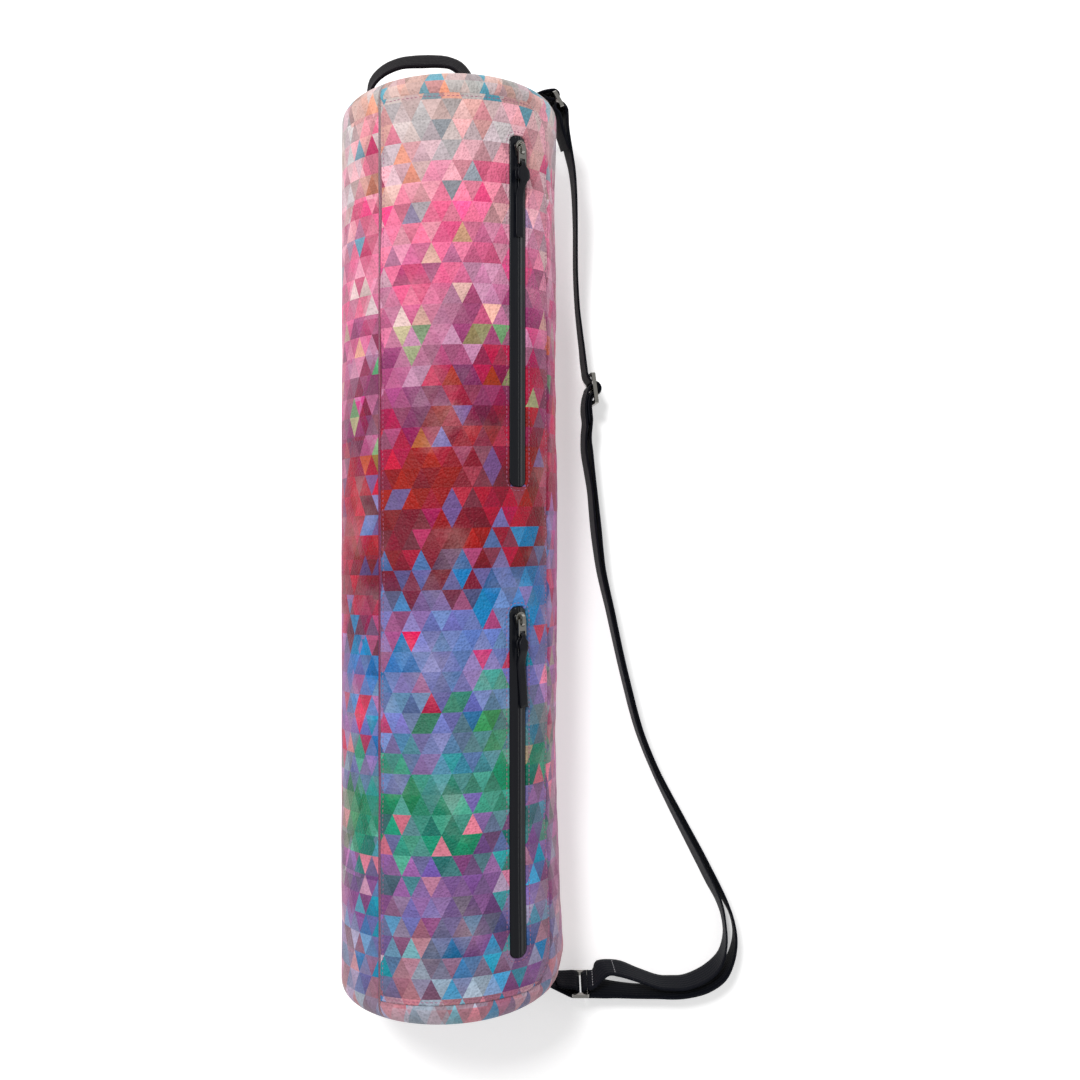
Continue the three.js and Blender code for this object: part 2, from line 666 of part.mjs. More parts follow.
const topAxes = hardwareAxes(
  bodyRadius + topRing.aside, halfLength + topRing.beyond, topRing.lift, topRing.turn, topRing.lean,
);
const bottomAxes = hardwareAxes(
  bodyRadius + bottomRing.aside, -halfLength - bottomRing.beyond, bottomRing.lift,
  bottomRing.turn, bottomRing.lean,
);
const middleAxes = hardwareAxes(
  adjuster.aside * bodyRadius, adjuster.along * halfLength, adjuster.lift, adjuster.turn, adjuster.lean,
);
const topPlace = leaned(topAxes, topAxes.run);
const bottomPlace = leaned(bottomAxes, bottomAxes.run.clone().negate());
const adjusterPlace = leaned(middleAxes, middleAxes.run);

function makeFrame(openings) {
  const barLength = webWidth + barSlack;
  const pitch = openings.size + barWidth;
  const length = openings.count * pitch + barWidth;
  const frame = roundedRectangle(new THREE.Shape(), length, barLength + 2 * barWidth, 2.6);
  for (let k = 0; k < openings.count; k++) {
    const middle = (k - (openings.count - 1) / 2) * pitch;
    frame.holes.push(roundedRectangle(new THREE.Path(), openings.size, barLength, 1, middle));
  }
  const piece = new THREE.ExtrudeGeometry(frame, { depth: barThick, bevelEnabled: false, curveSegments: 3 });
  return piece.translate(0, 0, -barThick / 2);
}

function addFrame(name, openings, place) {
  const mesh = addMesh(name, makeFrame(openings), metal);
  const through = new THREE.Vector3().crossVectors(place.run, place.bar);
  mesh.quaternion.setFromRotationMatrix(new THREE.Matrix4().makeBasis(place.run, place.bar, through));
  mesh.position.copy(place.centre);
}

// A point beside a ring or the adjuster, along its run and out through its face
function beside(place, along, out) {
  return place.centre.clone().addScaledVector(place.run, along).addScaledVector(place.face, out);
}

// Webbing turned half way round a bar. start is the angle of its first row, from the run
// towards the face, and way is 1 to turn with that angle or -1 against it.
function turnRoundBar(place, barAt, start, way) {
  return evenShares(5).map((share) => {
    const angle = radians(start + way * 180 * share);
    const run = place.run.clone().multiplyScalar(-way * Math.sin(angle));
    run.addScaledVector(place.face, way * Math.cos(angle));
    const spot = beside(place, barAt + ringFold * Math.cos(angle), ringFold * Math.sin(angle));
    return { place: spot, wide: place.bar, width: webWidth, run };
  });
}

const ringBar = (ringOpening + barWidth) / 2;

// How high the middle of webbing stands when its lower edge is on the surface
function standing(lean) {
  const half = radians(lean);
  return floorGap + webWidth / 2 * Math.cos(half) + webThick / 2 * Math.sin(half);
}

// Places of a route's rows, lifted towards the hardware's height at its ends
function placeRoute(route, heightNear) {
  return route.map((row, k) => {
    const low = standing(row.lean);
    const height = THREE.MathUtils.lerp(low, Math.max(heightNear(k), low), row.lift);
    const place = new THREE.Vector3(row.aside * bodyRadius, row.along * halfLength, height);
    return { place, lean: row.lean, spread: (row.spread ?? 0) * webWidth };
  });
}

// Outward and width directions of webbing standing on its edge along a run
function stand(run) {
  return run.map((row, k) => {
    const before = run[Math.max(k - 1, 0)].place;
    const after = run[Math.min(k + 1, run.length - 1)].place;
    const along = after.clone().sub(before).setZ(0).normalize();
    const outwards = new THREE.Vector3().crossVectors(upward, along);
    const lean = radians(row.lean);
    const wide = upward.clone().multiplyScalar(Math.cos(lean)).addScaledVector(outwards, Math.sin(lean));
    return { ...row, outwards, wide, width: webWidth };
  });
}

function shifted(run, sideOf) {
  return run.map((row) => ({ ...row, place: row.place.clone().addScaledVector(row.outwards, sideOf(row)) }));
}

// The strap round the adjuster, in its own axes: the sliding webbing passes over the middle
// bar, and the webbing's end is sewn round that bar below it. Shares of the fold's radius.
const slidePast = [[-7.3, -1.2], [-4.9, -1.18], [-3.33, -1.15], [-2.5, -0.88], [-1.72, -0.36], [-1.58, 0.18],
  [-1.12, 1.12], [0, 1.58], [1.12, 1.12], [1.58, 0.18], [1.72, -0.36], [2.5, -0.88], [3.33, -1.15],
  [4.9, -1.27], [7.2, -1.33]];
const sewnEnd = [[7.9, -2.61], [4.9, -2.54], [3.64, -2.38], [2.73, -2.18], [1.36, -1.79], [0.3, -1.3],
  [-0.55, -0.91], [-1, 0], [-0.71, 0.71], [0, 1], [0.71, 0.71], [1, 0], [1.12, -0.58], [1.58, -1.09],
  [2.42, -1.48], [3.64, -1.79], [5.5, -1.91], [7.9, -1.97]];

const threaded = (shares) => shares.map(([along, out]) => ({
  place: beside(adjusterPlace, along * foldRadius, out * foldRadius),
  wide: adjusterPlace.bar,
  width: webWidth,
}));

const plyStep = webThick + sewnGap;
const leaveRing = 1.4 * barWidth; // straight webbing past a ring's bar

// The ply that goes back beside the first rows of a run, from its end towards the bar. away
// tells which side of the run it lies on.
function returnPly(main, length, away) {
  const rows = [];
  const start = main[0].place;
  main.slice(1).forEach((row, k) => {
    const distance = row.place.distanceTo(start);
    const along = row.place.clone().sub(main[k].place).normalize();
    const side = new THREE.Vector3().crossVectors(row.wide, along).normalize();
    const closing = Math.max(0, 1 - distance / (0.7 * length));
    const apart = plyStep + closing * (2 * ringFold - plyStep);
    if (distance < length) {
      const run = row.run?.clone().negate();
      rows.unshift({ ...row, run, place: row.place.clone().addScaledVector(side, away * apart) });
    }
  });
  return rows;
}

// Webbing square to a bar, going along the frame's run or, with way -1, against it
const atBar = (place, along, out, way = 1) => ({
  place: beside(place, along, out), wide: place.bar, width: webWidth, run: place.run.clone().multiplyScalar(way),
});

function makeStrapUpper() {
  const fold = turnRoundBar(topPlace, ringBar, 270, -1);
  const leaving = { place: beside(topPlace, ringBar + leaveRing, ringFold), lean: topRing.lean };
  const entry = { place: threaded(slidePast)[0].place, lean: adjuster.lean };
  const main = stand(smoothRun([leaving, ...placeRoute(upperRoute, () => topPlace.centre.z), entry], strapStep));
  Object.assign(main[0], atBar(topPlace, ringBar + leaveRing, ringFold));
  const tail = returnPly([fold[fold.length - 1], ...main], sewnLength, -1);
  const passing = threaded(slidePast);
  passing[passing.length - 1].run = adjusterPlace.run;
  return strip([...tail, ...fold, ...main.slice(0, -1), ...passing], webThick);
}

const doubled = stand(smoothRun(placeRoute(doubleRoute, (k) => (
  k < doubleRoute.length / 2 ? adjusterPlace.centre.z : bottomPlace.centre.z)), strapStep));

// The strap is one length of webbing. It is shown in three pieces that meet end to end.
function makeStrapOuter() {
  const [along, out] = slidePast[slidePast.length - 1];
  const start = atBar(adjusterPlace, along * foldRadius + sewnGap, out * foldRadius);
  const arriving = atBar(bottomPlace, ringBar + leaveRing, ringFold, -1);
  const fold = turnRoundBar(bottomPlace, ringBar, 90, 1);
  const ply = shifted(doubled, (row) => row.spread / 2);
  return strip([start, ...ply, arriving, ...fold], webThick);
}

function makeStrapInner() {
  const start = atBar(bottomPlace, ringBar + sewnGap, -ringFold);
  const leaving = atBar(bottomPlace, ringBar + leaveRing, -ringFold);
  const ply = shifted(doubled, (row) => -row.spread / 2).reverse();
  return strip([start, leaving, ...ply, ...threaded(sewnEnd)], webThick);
}

// Webbing sewn flat on an end of the tube, folded round the ring's near bar and back. away
// tells on which side of it the folded ply lies.
function makeAnchor(end, place, anchor, away) {
  const level = halfLength + sewnGap + webThick / 2;
  const onEnd = (x) => new THREE.Vector3(x, end * level + endSkew * x, axisHeight + anchor.above);
  const padEnd = anchor.from * bodyRadius + anchorPad;
  const flat = new THREE.Vector3(1, endSkew, 0).normalize();
  const pad = [padEnd - anchorPad, padEnd - anchorPad / 2, padEnd].map((x) => (
    { place: onEnd(x), wide: upward, width: webWidth, run: flat }));
  const arriving = new THREE.Vector3(Math.cos(radians(anchor.arrive)), Math.sin(radians(anchor.arrive)), 0);
  const start = Math.atan2(arriving.dot(place.run), -arriving.dot(place.face));
  const fold = turnRoundBar(place, -ringBar, THREE.MathUtils.radToDeg(start), -1);
  const from = pad[pad.length - 1].place;
  const to = fold[0].place;
  const pull = 0.4 * from.distanceTo(to);
  const curve = new THREE.CubicBezierCurve3(
    from, from.clone().addScaledVector(flat, pull), to.clone().addScaledVector(arriving, -pull), to,
  );
  const steps = 8;
  const rising = [];
  for (let k = 1; k < steps; k++) {
    const wide = upward.clone().lerp(place.bar, (k / steps) ** 2).normalize();
    rising.push({ place: curve.getPoint(k / steps), wide, width: webWidth });
  }
  const back = returnPly([fold[0], ...[...rising].reverse()], tabSewnLength, away).reverse();
  return strip([...pad, ...rising, ...fold, ...back], webThick);
}

// The handle's webbing, sewn flat on the end disc with both ends turned in under the arch
function makeHandle() {
  const level = halfLength + sewnGap + handleThick / 2;
  const rows = handleRows.map(({ across, rise, twist }) => {
    const x = handleShift + across * handleSpan;
    const place = new THREE.Vector3(x, level + rise * handleRise + endSkew * x, axisHeight + handleForward);
    return { place, twist: twist * handleTwist };
  });
  const run = smoothRun(rows, handleStep);
  return strip(run.map((row, k) => {
    const before = run[Math.max(k - 1, 0)].place;
    const after = run[Math.min(k + 1, run.length - 1)].place;
    const along = after.clone().sub(before).normalize();
    const away = new THREE.Vector3().crossVectors(upward, along);
    const twist = radians(row.twist);
    const wide = upward.clone().multiplyScalar(Math.cos(twist)).addScaledVector(away, -Math.sin(twist));
    return { place: row.place, wide, width: webWidth };
  }), handleThick);
}

const opening = windowCutter(mainZip);
addMesh('body_shell', geometryOf(solidOf(makeBodyShell()).subtract(opening)), cloth(colours.print));
addMesh('top_disc', makeDisc(1), cloth(colours.disc));
addMesh('bottom_disc', makeDisc(-1), cloth(colours.disc));

const cutters = [windowCutter(upperZip), windowCutter(lowerZip), cornerCutter(1), cornerCutter(-1)];
const panel = cutters.reduce((rest, cutter) => rest.subtract(cutter), solidOf(makePanelSheet()));
addMesh('front_panel', geometryOf(panel), cloth(colours.panel));

addZip('pocket_zip_upper', upperZip, pullTabs.upper);
addZip('pocket_zip_lower', lowerZip, pullTabs.lower);
addZip('main_zip', mainZip, pullTabs.main);

addMesh('handle', makeHandle(), webbing);
addFrame('top_ring', { count: 1, size: ringOpening }, topPlace);
addFrame('bottom_ring', { count: 1, size: ringOpening }, bottomPlace);
addFrame('strap_adjuster', { count: 2, size: adjusterOpening }, adjusterPlace);
addMesh('top_tab', makeAnchor(1, topPlace, topAnchor, 1), webbing);
addMesh('bottom_tab', makeAnchor(-1, bottomPlace, bottomAnchor, -1), webbing);
addMesh('strap_upper', makeStrapUpper(), webbing);
addMesh('strap_outer', makeStrapOuter(), webbing);
addMesh('strap_inner', makeStrapInner(), webbing);

export default group;
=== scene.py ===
# A yoga mat bag lying on its back: a soft tube of printed leathercloth with a zipped pocket
# panel along its front, a webbing handle on its top end and a shoulder strap laid at its right.
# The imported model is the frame. Everything stays in it, in metres: +X towards the strap, +Y
# towards the handle, +Z up out of the pocket panel's side.

import itertools
import math

import bmesh
import bpy
import numpy as np
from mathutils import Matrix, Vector, geometry, noise


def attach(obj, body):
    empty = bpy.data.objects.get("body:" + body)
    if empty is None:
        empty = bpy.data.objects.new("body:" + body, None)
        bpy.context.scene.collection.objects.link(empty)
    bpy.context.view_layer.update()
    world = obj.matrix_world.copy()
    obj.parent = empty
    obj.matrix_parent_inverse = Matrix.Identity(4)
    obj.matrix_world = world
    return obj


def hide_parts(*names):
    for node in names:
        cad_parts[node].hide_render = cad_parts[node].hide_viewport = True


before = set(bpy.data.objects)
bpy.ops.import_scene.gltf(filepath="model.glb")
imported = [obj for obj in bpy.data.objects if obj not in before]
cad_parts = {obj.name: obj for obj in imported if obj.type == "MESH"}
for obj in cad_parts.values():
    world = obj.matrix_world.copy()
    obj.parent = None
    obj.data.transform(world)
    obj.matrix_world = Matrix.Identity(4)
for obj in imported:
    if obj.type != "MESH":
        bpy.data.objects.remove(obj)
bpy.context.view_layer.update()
mm = 0.001


# Wrap
# One sheet of lined polyurethane leathercloth, printed before it was cut, sewn into a tube
# with both ends turned in over a round end piece. The lying tube sinks a little onto the floor
# and slackens into shallow folds, and every seam draws the cloth into small puckers.

tube_radius = 82 * mm
half_length = 335 * mm
axis_height = 76 * mm
rim_radius = 12 * mm
end_skew = 0.03  # the ends of the soft tube are sheared by this slope
cloth_thick = 2 * mm
panel_left, panel_right = -32.5, 63.0  # turns round the tube, in degrees from its front
panel_end = 321.5 * mm
panel_corner = 28 * mm
zip_turn = 40.0
main_zip_turn = 116.0

# Each fold: turn in degrees, along as a share of half the length, deep as a share of the radius,
# wide and long as shares of the radius across and along it, and its slant in degrees
folds = [
    (14, 0.052, 0.021, 0.1, 0.85, 4),
    (6, -0.06, 0.021, 0.1, 0.95, 1),
    (-44, 0.7, 0.022, 0.22, 0.7, 48),
    (-20, 0.42, 0.016, 0.25, 0.8, 30),
    (84, 0.8, 0.03, 0.24, 0.8, -62),
    (82, 0.45, 0.02, 0.26, 0.9, -70),
    (80, -0.5, 0.018, 0.26, 0.8, 55),
    (92, -0.95, -0.058, 0.75, 0.9, 90),
    (-70, -0.35, 0.014, 0.3, 0.9, 60),
    (-120, 0.1, 0.02, 0.35, 1.1, 75),
    (135, -0.15, 0.02, 0.35, 1.1, 80),
]


def fold_depth(turn, along):
    """How far the folds draw the cloth in."""
    depth = np.zeros_like(turn)
    for at_turn, at_along, deep, wide, long, slant in folds:
        sideways = np.radians(turn - at_turn) * tube_radius
        lengthways = along - at_along * half_length
        c, s = math.cos(math.radians(slant)), math.sin(math.radians(slant))
        down = sideways * c + lengthways * s
        across = lengthways * c - sideways * s
        reach = (down / (long * tube_radius)) ** 2 + (across / (wide * tube_radius)) ** 2
        depth += deep * tube_radius * np.exp(-reach)
    return depth * np.clip((half_length - np.abs(along)) / (2 * rim_radius), 0, 1)


def bumps(turn, along, size, stretch, slant, seed):
    """Smooth noise over the cloth: size across its ridges, stretch along them."""
    c, s = math.cos(math.radians(slant)), math.sin(math.radians(slant))
    values = np.empty(turn.size)
    arc = np.radians(turn) * tube_radius
    for k, (x, y) in enumerate(zip(arc.ravel(), along.ravel())):
        down, across = x * c + y * s, y * c - x * s
        values[k] = noise.noise(Vector((down / (size * stretch), across / size, seed)))
    return values.reshape(turn.shape)


def near(distance, reach):
    """1 at no distance, falling softly to nothing past the reach."""
    return np.exp(-((distance / reach) ** 2))


def ripples(turn, along):
    """How far the cloth stands in or out by its slack and by the pull of its seams."""
    arc = np.radians(turn) * tube_radius
    left_seam = np.abs(arc - math.radians(panel_left) * tube_radius)
    right_seam = np.abs(arc - math.radians(panel_right) * tube_radius)
    end_seam = np.abs(np.abs(along) - panel_end)
    on_front = (turn > panel_left - 20) & (turn < panel_right + 20)
    puckers = near(np.minimum(left_seam, right_seam), 9 * mm) * bumps(turn, along, 7 * mm, 2.2, 8, 3.1)
    end_puckers = near(end_seam, 10 * mm) * bumps(turn, along, 9 * mm, 1.8, 80, 7.7) * on_front
    slack = bumps(turn, along, 34 * mm, 1.6, 35, 1.3)
    on_side = near(np.clip(np.abs(turn - 80) - 12, 0, None), 14)
    crumple = on_side * bumps(turn, along, 9 * mm, 3.2, -58, 5.2)
    fine = bumps(turn, along, 5 * mm, 1.5, 20, 9.4)
    out = 0.45 * puckers + 0.6 * end_puckers + 0.55 * slack + 0.8 * crumple + 0.07 * fine
    to_zip = np.minimum(np.abs(turn - zip_turn), np.abs(turn - main_zip_turn))
    out *= 1 - near(np.clip(np.radians(to_zip) * tube_radius - 9 * mm, 0, None), 7 * mm)
    return out * mm * np.clip((half_length - np.abs(along)) / rim_radius, 0, 1)


def on_tube(turn, along, out, floor=0.0):
    """Points on the cloth, out from the smooth tube and never below the floor."""
    turn, along, out = np.broadcast_arrays(*(np.asarray(v, float) for v in (turn, along, out)))
    reach = tube_radius - fold_depth(turn, along) + ripples(turn, along) + out
    x = reach * np.sin(np.radians(turn))
    z = np.maximum(axis_height + reach * np.cos(np.radians(turn)), floor)
    return np.stack([x, along + end_skew * x, z], axis=-1)


def turn_of(arc):
    """Degrees round the tube for a length along its surface."""
    return np.degrees(arc / tube_radius)


def new_mesh(name, points, faces, uv=None):
    """A smooth-shaded object. uv gives each point its place on the cloth, in metres."""
    mesh = bpy.data.meshes.new(name)
    mesh.from_pydata([tuple(p) for p in points], [], [tuple(int(v) for v in f) for f in faces])
    mesh.validate()
    if uv is not None:
        layer = mesh.uv_layers.new(name="cloth")
        corners = np.array([loop.vertex_index for loop in mesh.loops])
        layer.data.foreach_set("uv", np.asarray(uv, np.float32)[corners].ravel())
    mesh.shade_smooth()
    piece = bpy.data.objects.new(name, mesh)
    bpy.context.scene.collection.objects.link(piece)
    return piece


def grid_faces(rows, columns, closed_rows=False, closed_columns=False):
    """Four-sided faces between rows of points that lie one after another."""
    faces = []
    for r in range(rows if closed_rows else rows - 1):
        for c in range(columns if closed_columns else columns - 1):
            a, b = r * columns + c, r * columns + (c + 1) % columns
            d, e = (r + 1) % rows * columns + c, (r + 1) % rows * columns + (c + 1) % columns
            faces.append((a, b, e, d))
    return faces


def linear(hex_colour):
    """An sRGB hex value as the linear colour that a shader takes."""
    values = [int(hex_colour[k:k + 2], 16) / 255 for k in (1, 3, 5)]
    return tuple(v / 12.92 if v <= 0.04045 else ((v + 0.055) / 1.055) ** 2.4 for v in values) + (1.0,)


def new_material(name):
    """A material with its node tree and its surface node."""
    material = bpy.data.materials.new(name)
    material.use_nodes = True
    return material, material.node_tree, material.node_tree.nodes["Principled BSDF"]


def node(tree, kind, settings=None, **inputs):
    """Adds a node. An input takes a value or another node's output."""
    made = tree.nodes.new(kind)
    for name, value in (settings or {}).items():
        setattr(made, name, value)
    for name, value in inputs.items():
        key = int(name[1:]) if name[0] == "i" and name[1:].isdigit() else name.replace("_", " ")
        if isinstance(value, bpy.types.NodeSocket):
            tree.links.new(value, made.inputs[key])
        else:
            made.inputs[key].default_value = value
    return made


# The print is a mosaic of triangles in rows, a common geometric pattern. Bands of colour run
# round the bag, and each triangle takes a colour from near its own place in them.
triangle_base = 14.3 * mm
triangle_height = 14.4 * mm
print_bands = [  # along the bag in mm from its middle, with the colours that the triangles draw on
    (-335, "#d79aa4", "#a9bccb", "#8fc3c9"),
    (-312, "#9c6a80", "#7f5a74", "#6f9cc0"),
    (-292, "#2b93c4", "#8a7c8e", "#b9aeca"),
    (-268, "#8a4a7c", "#5f86bc", "#1fa0cc"),
    (-240, "#80568e", "#a06ca0", "#4f9c9a"),
    (-212, "#2f8078", "#7a68a8", "#5a9ab4"),
    (-182, "#2f8f70", "#62b094", "#f58aa2"),
    (-152, "#3f8f62", "#5f8f9c", "#f090a4"),
    (-128, "#8078b8", "#6f8fbc", "#4f9a58"),
    (-104, "#7c86c0", "#9a78ae", "#3f8fbc"),
    (-76, "#4d86c0", "#7c90c8", "#d04a5c"),
    (-48, "#2f90c8", "#8c82ba", "#e23a54"),
    (-24, "#7c3040", "#c43a4a", "#2090c4"),
    (10, "#8c3238", "#70404e", "#8484b4"),
    (46, "#a43832", "#c43a50", "#6c5a92"),
    (84, "#7a3c5a", "#c8344a", "#84648e"),
    (122, "#94587e", "#9c3a58", "#d8602c"),
    (158, "#cc7098", "#b48ea8", "#5caa7c"),
    (194, "#f088a8", "#d898b4", "#f4b8a0"),
    (232, "#f4769a", "#f0aabc", "#e6d8d6"),
    (262, "#f294ac", "#f0bcc2", "#c078a4"),
    (290, "#e6b0b4", "#c8b8c0", "#48a8bc"),
    (318, "#e8bab2", "#b8c0be", "#f0a488"),
    (335, "#ecc4b8", "#cdb8b8", "#60a8bc"),
]
side_print_and_painted_sheen = [  # the same for the cloth at the bag's sides: a pinker print, paled by painted sheen where the cloth turns away at the bag's edges
    (-335, "#e0a8a8"), (-250, "#d08cac"), (-180, "#e490b4"), (-60, "#d06c94"), (40, "#c85878"),
    (140, "#d884a4"), (240, "#dcb4c4"), (335, "#d0d0d0"),
]


def printed_leathercloth(name, shift):
    """Polyurethane leathercloth, satin with a fine pebbled grain, printed all over. shift moves
    the mosaic, because each cut piece shows another part of the printed sheet."""
    material, tree, surface = new_material(name)

    def math_node(operation, a, b=0.0, c=0.0):
        return node(tree, "ShaderNodeMath", {"operation": operation}, i0=a, i1=b, i2=c).outputs[0]

    def ramp(place, stops):
        made = node(tree, "ShaderNodeValToRGB", None, Fac=place)
        elements = made.color_ramp.elements
        while len(elements) < len(stops):
            elements.new(0.5)
        for element, (at, colour) in zip(elements, stops):
            element.position = (at * mm + half_length) / (2 * half_length)
            element.color = linear(colour)
        return made.outputs["Color"]

    def mixed(factor, a, b):
        made = node(tree, "ShaderNodeMix", {"data_type": "RGBA"}, Factor=factor)
        for socket, value in ((made.inputs[6], a), (made.inputs[7], b)):
            if isinstance(value, bpy.types.NodeSocket):
                tree.links.new(value, socket)
            else:
                socket.default_value = value
        return made.outputs[2]

    place = node(tree, "ShaderNodeUVMap", {"uv_map": "cloth"}).outputs["UV"]
    split = node(tree, "ShaderNodeSeparateXYZ", None, Vector=place)
    arc, along = split.outputs["X"], split.outputs["Y"]

    def mosaic(size):
        """Which triangle a point is in: its middle, and three random values of its own."""
        row_place = math_node("MULTIPLY_ADD", along, 1 / (triangle_height * size), shift[1])
        column_place = math_node("MULTIPLY_ADD", arc, 1 / (triangle_base * size), shift[0])
        slanted = math_node("MULTIPLY_ADD", row_place, -0.5, column_place)
        row, column = math_node("FLOOR", row_place), math_node("FLOOR", slanted)
        up_share, side_share = math_node("FRACT", row_place), math_node("FRACT", slanted)
        pointed_down = math_node("GREATER_THAN", math_node("ADD", up_share, side_share), 1.0)
        third = math_node("MULTIPLY_ADD", pointed_down, 1 / 3, 1 / 3)
        middle_row = math_node("ADD", row, third)
        middle_column = math_node("MULTIPLY_ADD", middle_row, 0.5, math_node("ADD", column, third))
        key = node(tree, "ShaderNodeCombineXYZ", None, X=column, Y=row, Z=pointed_down).outputs[0]
        chance = node(tree, "ShaderNodeTexWhiteNoise", {"noise_dimensions": "3D"}, Vector=key)
        pair = node(tree, "ShaderNodeCombineXYZ", None, X=column, Y=row).outputs[0]
        pair_chance = node(tree, "ShaderNodeTexWhiteNoise", {"noise_dimensions": "2D"}, Vector=pair)
        values = node(tree, "ShaderNodeSeparateColor", None, Color=chance.outputs["Color"])
        middle_along = math_node("MULTIPLY", middle_row, triangle_height * size)
        middle_arc = math_node("MULTIPLY", middle_column, triangle_base * size)
        return {
            "along": math_node("ADD", middle_along, -shift[1] * triangle_height * size),
            "arc": math_node("ADD", middle_arc, -shift[0] * triangle_base * size),
            "chance": [values.outputs[k] for k in range(3)],
            "cell": pair_chance.outputs[0],
            "up": up_share,
            "value": chance.outputs["Value"],
        }

    def cloud(x, y, size, seed, detail=2.0):
        spot = node(tree, "ShaderNodeCombineXYZ", None, X=x, Y=y, Z=seed).outputs[0]
        made = node(tree, "ShaderNodeTexNoise", {"noise_dimensions": "3D"}, Vector=spot, Scale=1 / size,
                    Detail=detail, Roughness=0.5)
        return made.outputs["Fac"]

    def band_place(at_along, wander, jitter=0.0):
        """Place along the bands from 0 to 1, moved by a wandering and a random amount in metres."""
        moved = math_node("MULTIPLY_ADD", math_node("SUBTRACT", wander, 0.5), 95 * mm, at_along)
        moved = math_node("ADD", moved, jitter)
        return math_node("MULTIPLY_ADD", moved, 1 / (2 * half_length), 0.5)

    small, large = mosaic(1), mosaic(2)
    wander = cloud(small["arc"], small["along"], 110 * mm, 0.2)
    # two triangles that share a parallelogram are often alike, and few stray far from their band
    paired = math_node("GREATER_THAN", small["cell"], 0.5)
    shared = math_node("MULTIPLY_ADD", small["cell"], 2.0, -1.0)
    drawn = node(tree, "ShaderNodeMix", None, Factor=paired, i2=small["chance"][0], i3=shared).outputs[0]
    stray = math_node("SUBTRACT", drawn, 0.5)
    jump = math_node("MULTIPLY", math_node("MULTIPLY", stray, math_node("ABSOLUTE", stray)), 230 * mm)
    # the bands climb to the right across the middle of the bag
    around = math.pi * tube_radius
    from_front = math_node("WRAP", small["arc"], around, -around)
    share = math_node("MULTIPLY", small["along"], 1 / half_length)
    climb = math_node("SUBTRACT", 1.0, math_node("MULTIPLY", share, share))
    climb = math_node("MULTIPLY", math_node("MULTIPLY", climb, from_front), -0.38)
    spot = band_place(math_node("ADD", small["along"], climb), wander, jump)
    first, second, third = (ramp(spot, [(band[0], band[k]) for band in print_bands]) for k in (1, 2, 3))
    groups = math_node("ADD", cloud(small["arc"], small["along"], 30 * mm, 3.7),
                       math_node("MULTIPLY", math_node("SUBTRACT", large["value"], 0.5), 0.28))
    choice = node(tree, "ShaderNodeMapRange", None, Value=groups, From_Min=0.42, From_Max=0.6).outputs[0]
    colour = mixed(choice, first, second)
    accent = math_node("GREATER_THAN", small["value"], 0.84)
    colour = mixed(accent, colour, third)
    wash_place = band_place(along, cloud(arc, along, 60 * mm, 8.1, 4.0))
    wash = ramp(wash_place, [(band[0], band[1]) for band in print_bands])
    colour = mixed(0.1, colour, wash)
    # the sides are mixed towards a pinker print that is paled by painted sheen, most strongly past the
    # bag's edges
    sides = ramp(spot, side_print_and_painted_sheen)
    side_near = math_node("ABSOLUTE", from_front)
    side_cloud = cloud(small["arc"], small["along"], 45 * mm, 5.5)
    side_place = math_node("MULTIPLY_ADD", side_cloud, 60 * mm, side_near)
    side_share = node(tree, "ShaderNodeMapRange", None, Value=side_place, From_Min=106 * mm,
                      From_Max=150 * mm, To_Max=0.75).outputs[0]
    colour = mixed(side_share, colour, sides)
    tint = math_node("MULTIPLY_ADD", small["chance"][1], 0.42, 0.6)
    tilt = math_node("MULTIPLY", math_node("SUBTRACT", small["up"], 0.5),
                     math_node("MULTIPLY_ADD", small["chance"][2], 0.5, -0.2))
    tint = math_node("ADD", tint, tilt)
    large_tint = math_node("MULTIPLY_ADD", large["chance"][0], 0.28, 0.84)
    tint = math_node("MULTIPLY", tint, large_tint)
    depth = math_node("MULTIPLY_ADD", small["chance"][2], 0.25, 1.04)
    colour = node(tree, "ShaderNodeHueSaturation", None, Saturation=depth, Value=tint,
                  Color=colour).outputs[0]
    worn = cloud(arc, along, 38 * mm, 2.6, 5.0)
    bloom = node(tree, "ShaderNodeMapRange", None, Value=worn, From_Min=0.54, From_Max=0.75,
                 To_Max=0.12).outputs[0]
    colour = mixed(bloom, colour, linear("#f2dcd8"))

    # Embossed grain, pebbles of about 1.5 mm, drawn a little coarser than real so that it shows,
    # with painted shade in its low creases and painted light on its raised tops
    pebbles = node(tree, "ShaderNodeTexVoronoi", {"feature": "SMOOTH_F1"}, Vector=place,
                   Scale=1 / (1.7 * mm), Smoothness=0.6)
    creases = node(tree, "ShaderNodeTexNoise", None, Vector=place, Scale=1 / (2.6 * mm), Detail=5.0,
                   Distortion=1.2)
    grain = math_node("MULTIPLY_ADD", creases.outputs["Fac"], 0.9, pebbles.outputs["Distance"])
    bump = node(tree, "ShaderNodeBump", None, Strength=1.0, Distance=0.75 * mm, Height=grain)
    tree.links.new(bump.outputs["Normal"], surface.inputs["Normal"])
    # painted shade darkens the grain's low creases and painted light brightens its raised tops
    grain_painted_light_and_shade = node(tree, "ShaderNodeMapRange", None, Value=grain, From_Min=0.55, From_Max=1.25, To_Min=0.88,
                 To_Max=1.1).outputs[0]
    colour = node(tree, "ShaderNodeHueSaturation", None, Value=grain_painted_light_and_shade, Color=colour).outputs[0]
    tree.links.new(colour, surface.inputs["Base Color"])
    shine = node(tree, "ShaderNodeMapRange", None, Value=creases.outputs["Fac"], To_Min=0.45, To_Max=0.65)
    tree.links.new(shine.outputs[0], surface.inputs["Roughness"])
    surface.inputs["IOR"].default_value = 1.48
    surface.inputs["Specular IOR Level"].default_value = 0.32
    return material


# The main zip lies in a slot at the right side. Columns and rows of points follow its edges.
main_zip_half = 5.5 * mm
main_zip_end = half_length - 36 * mm
slot_depth = 2.6 * mm


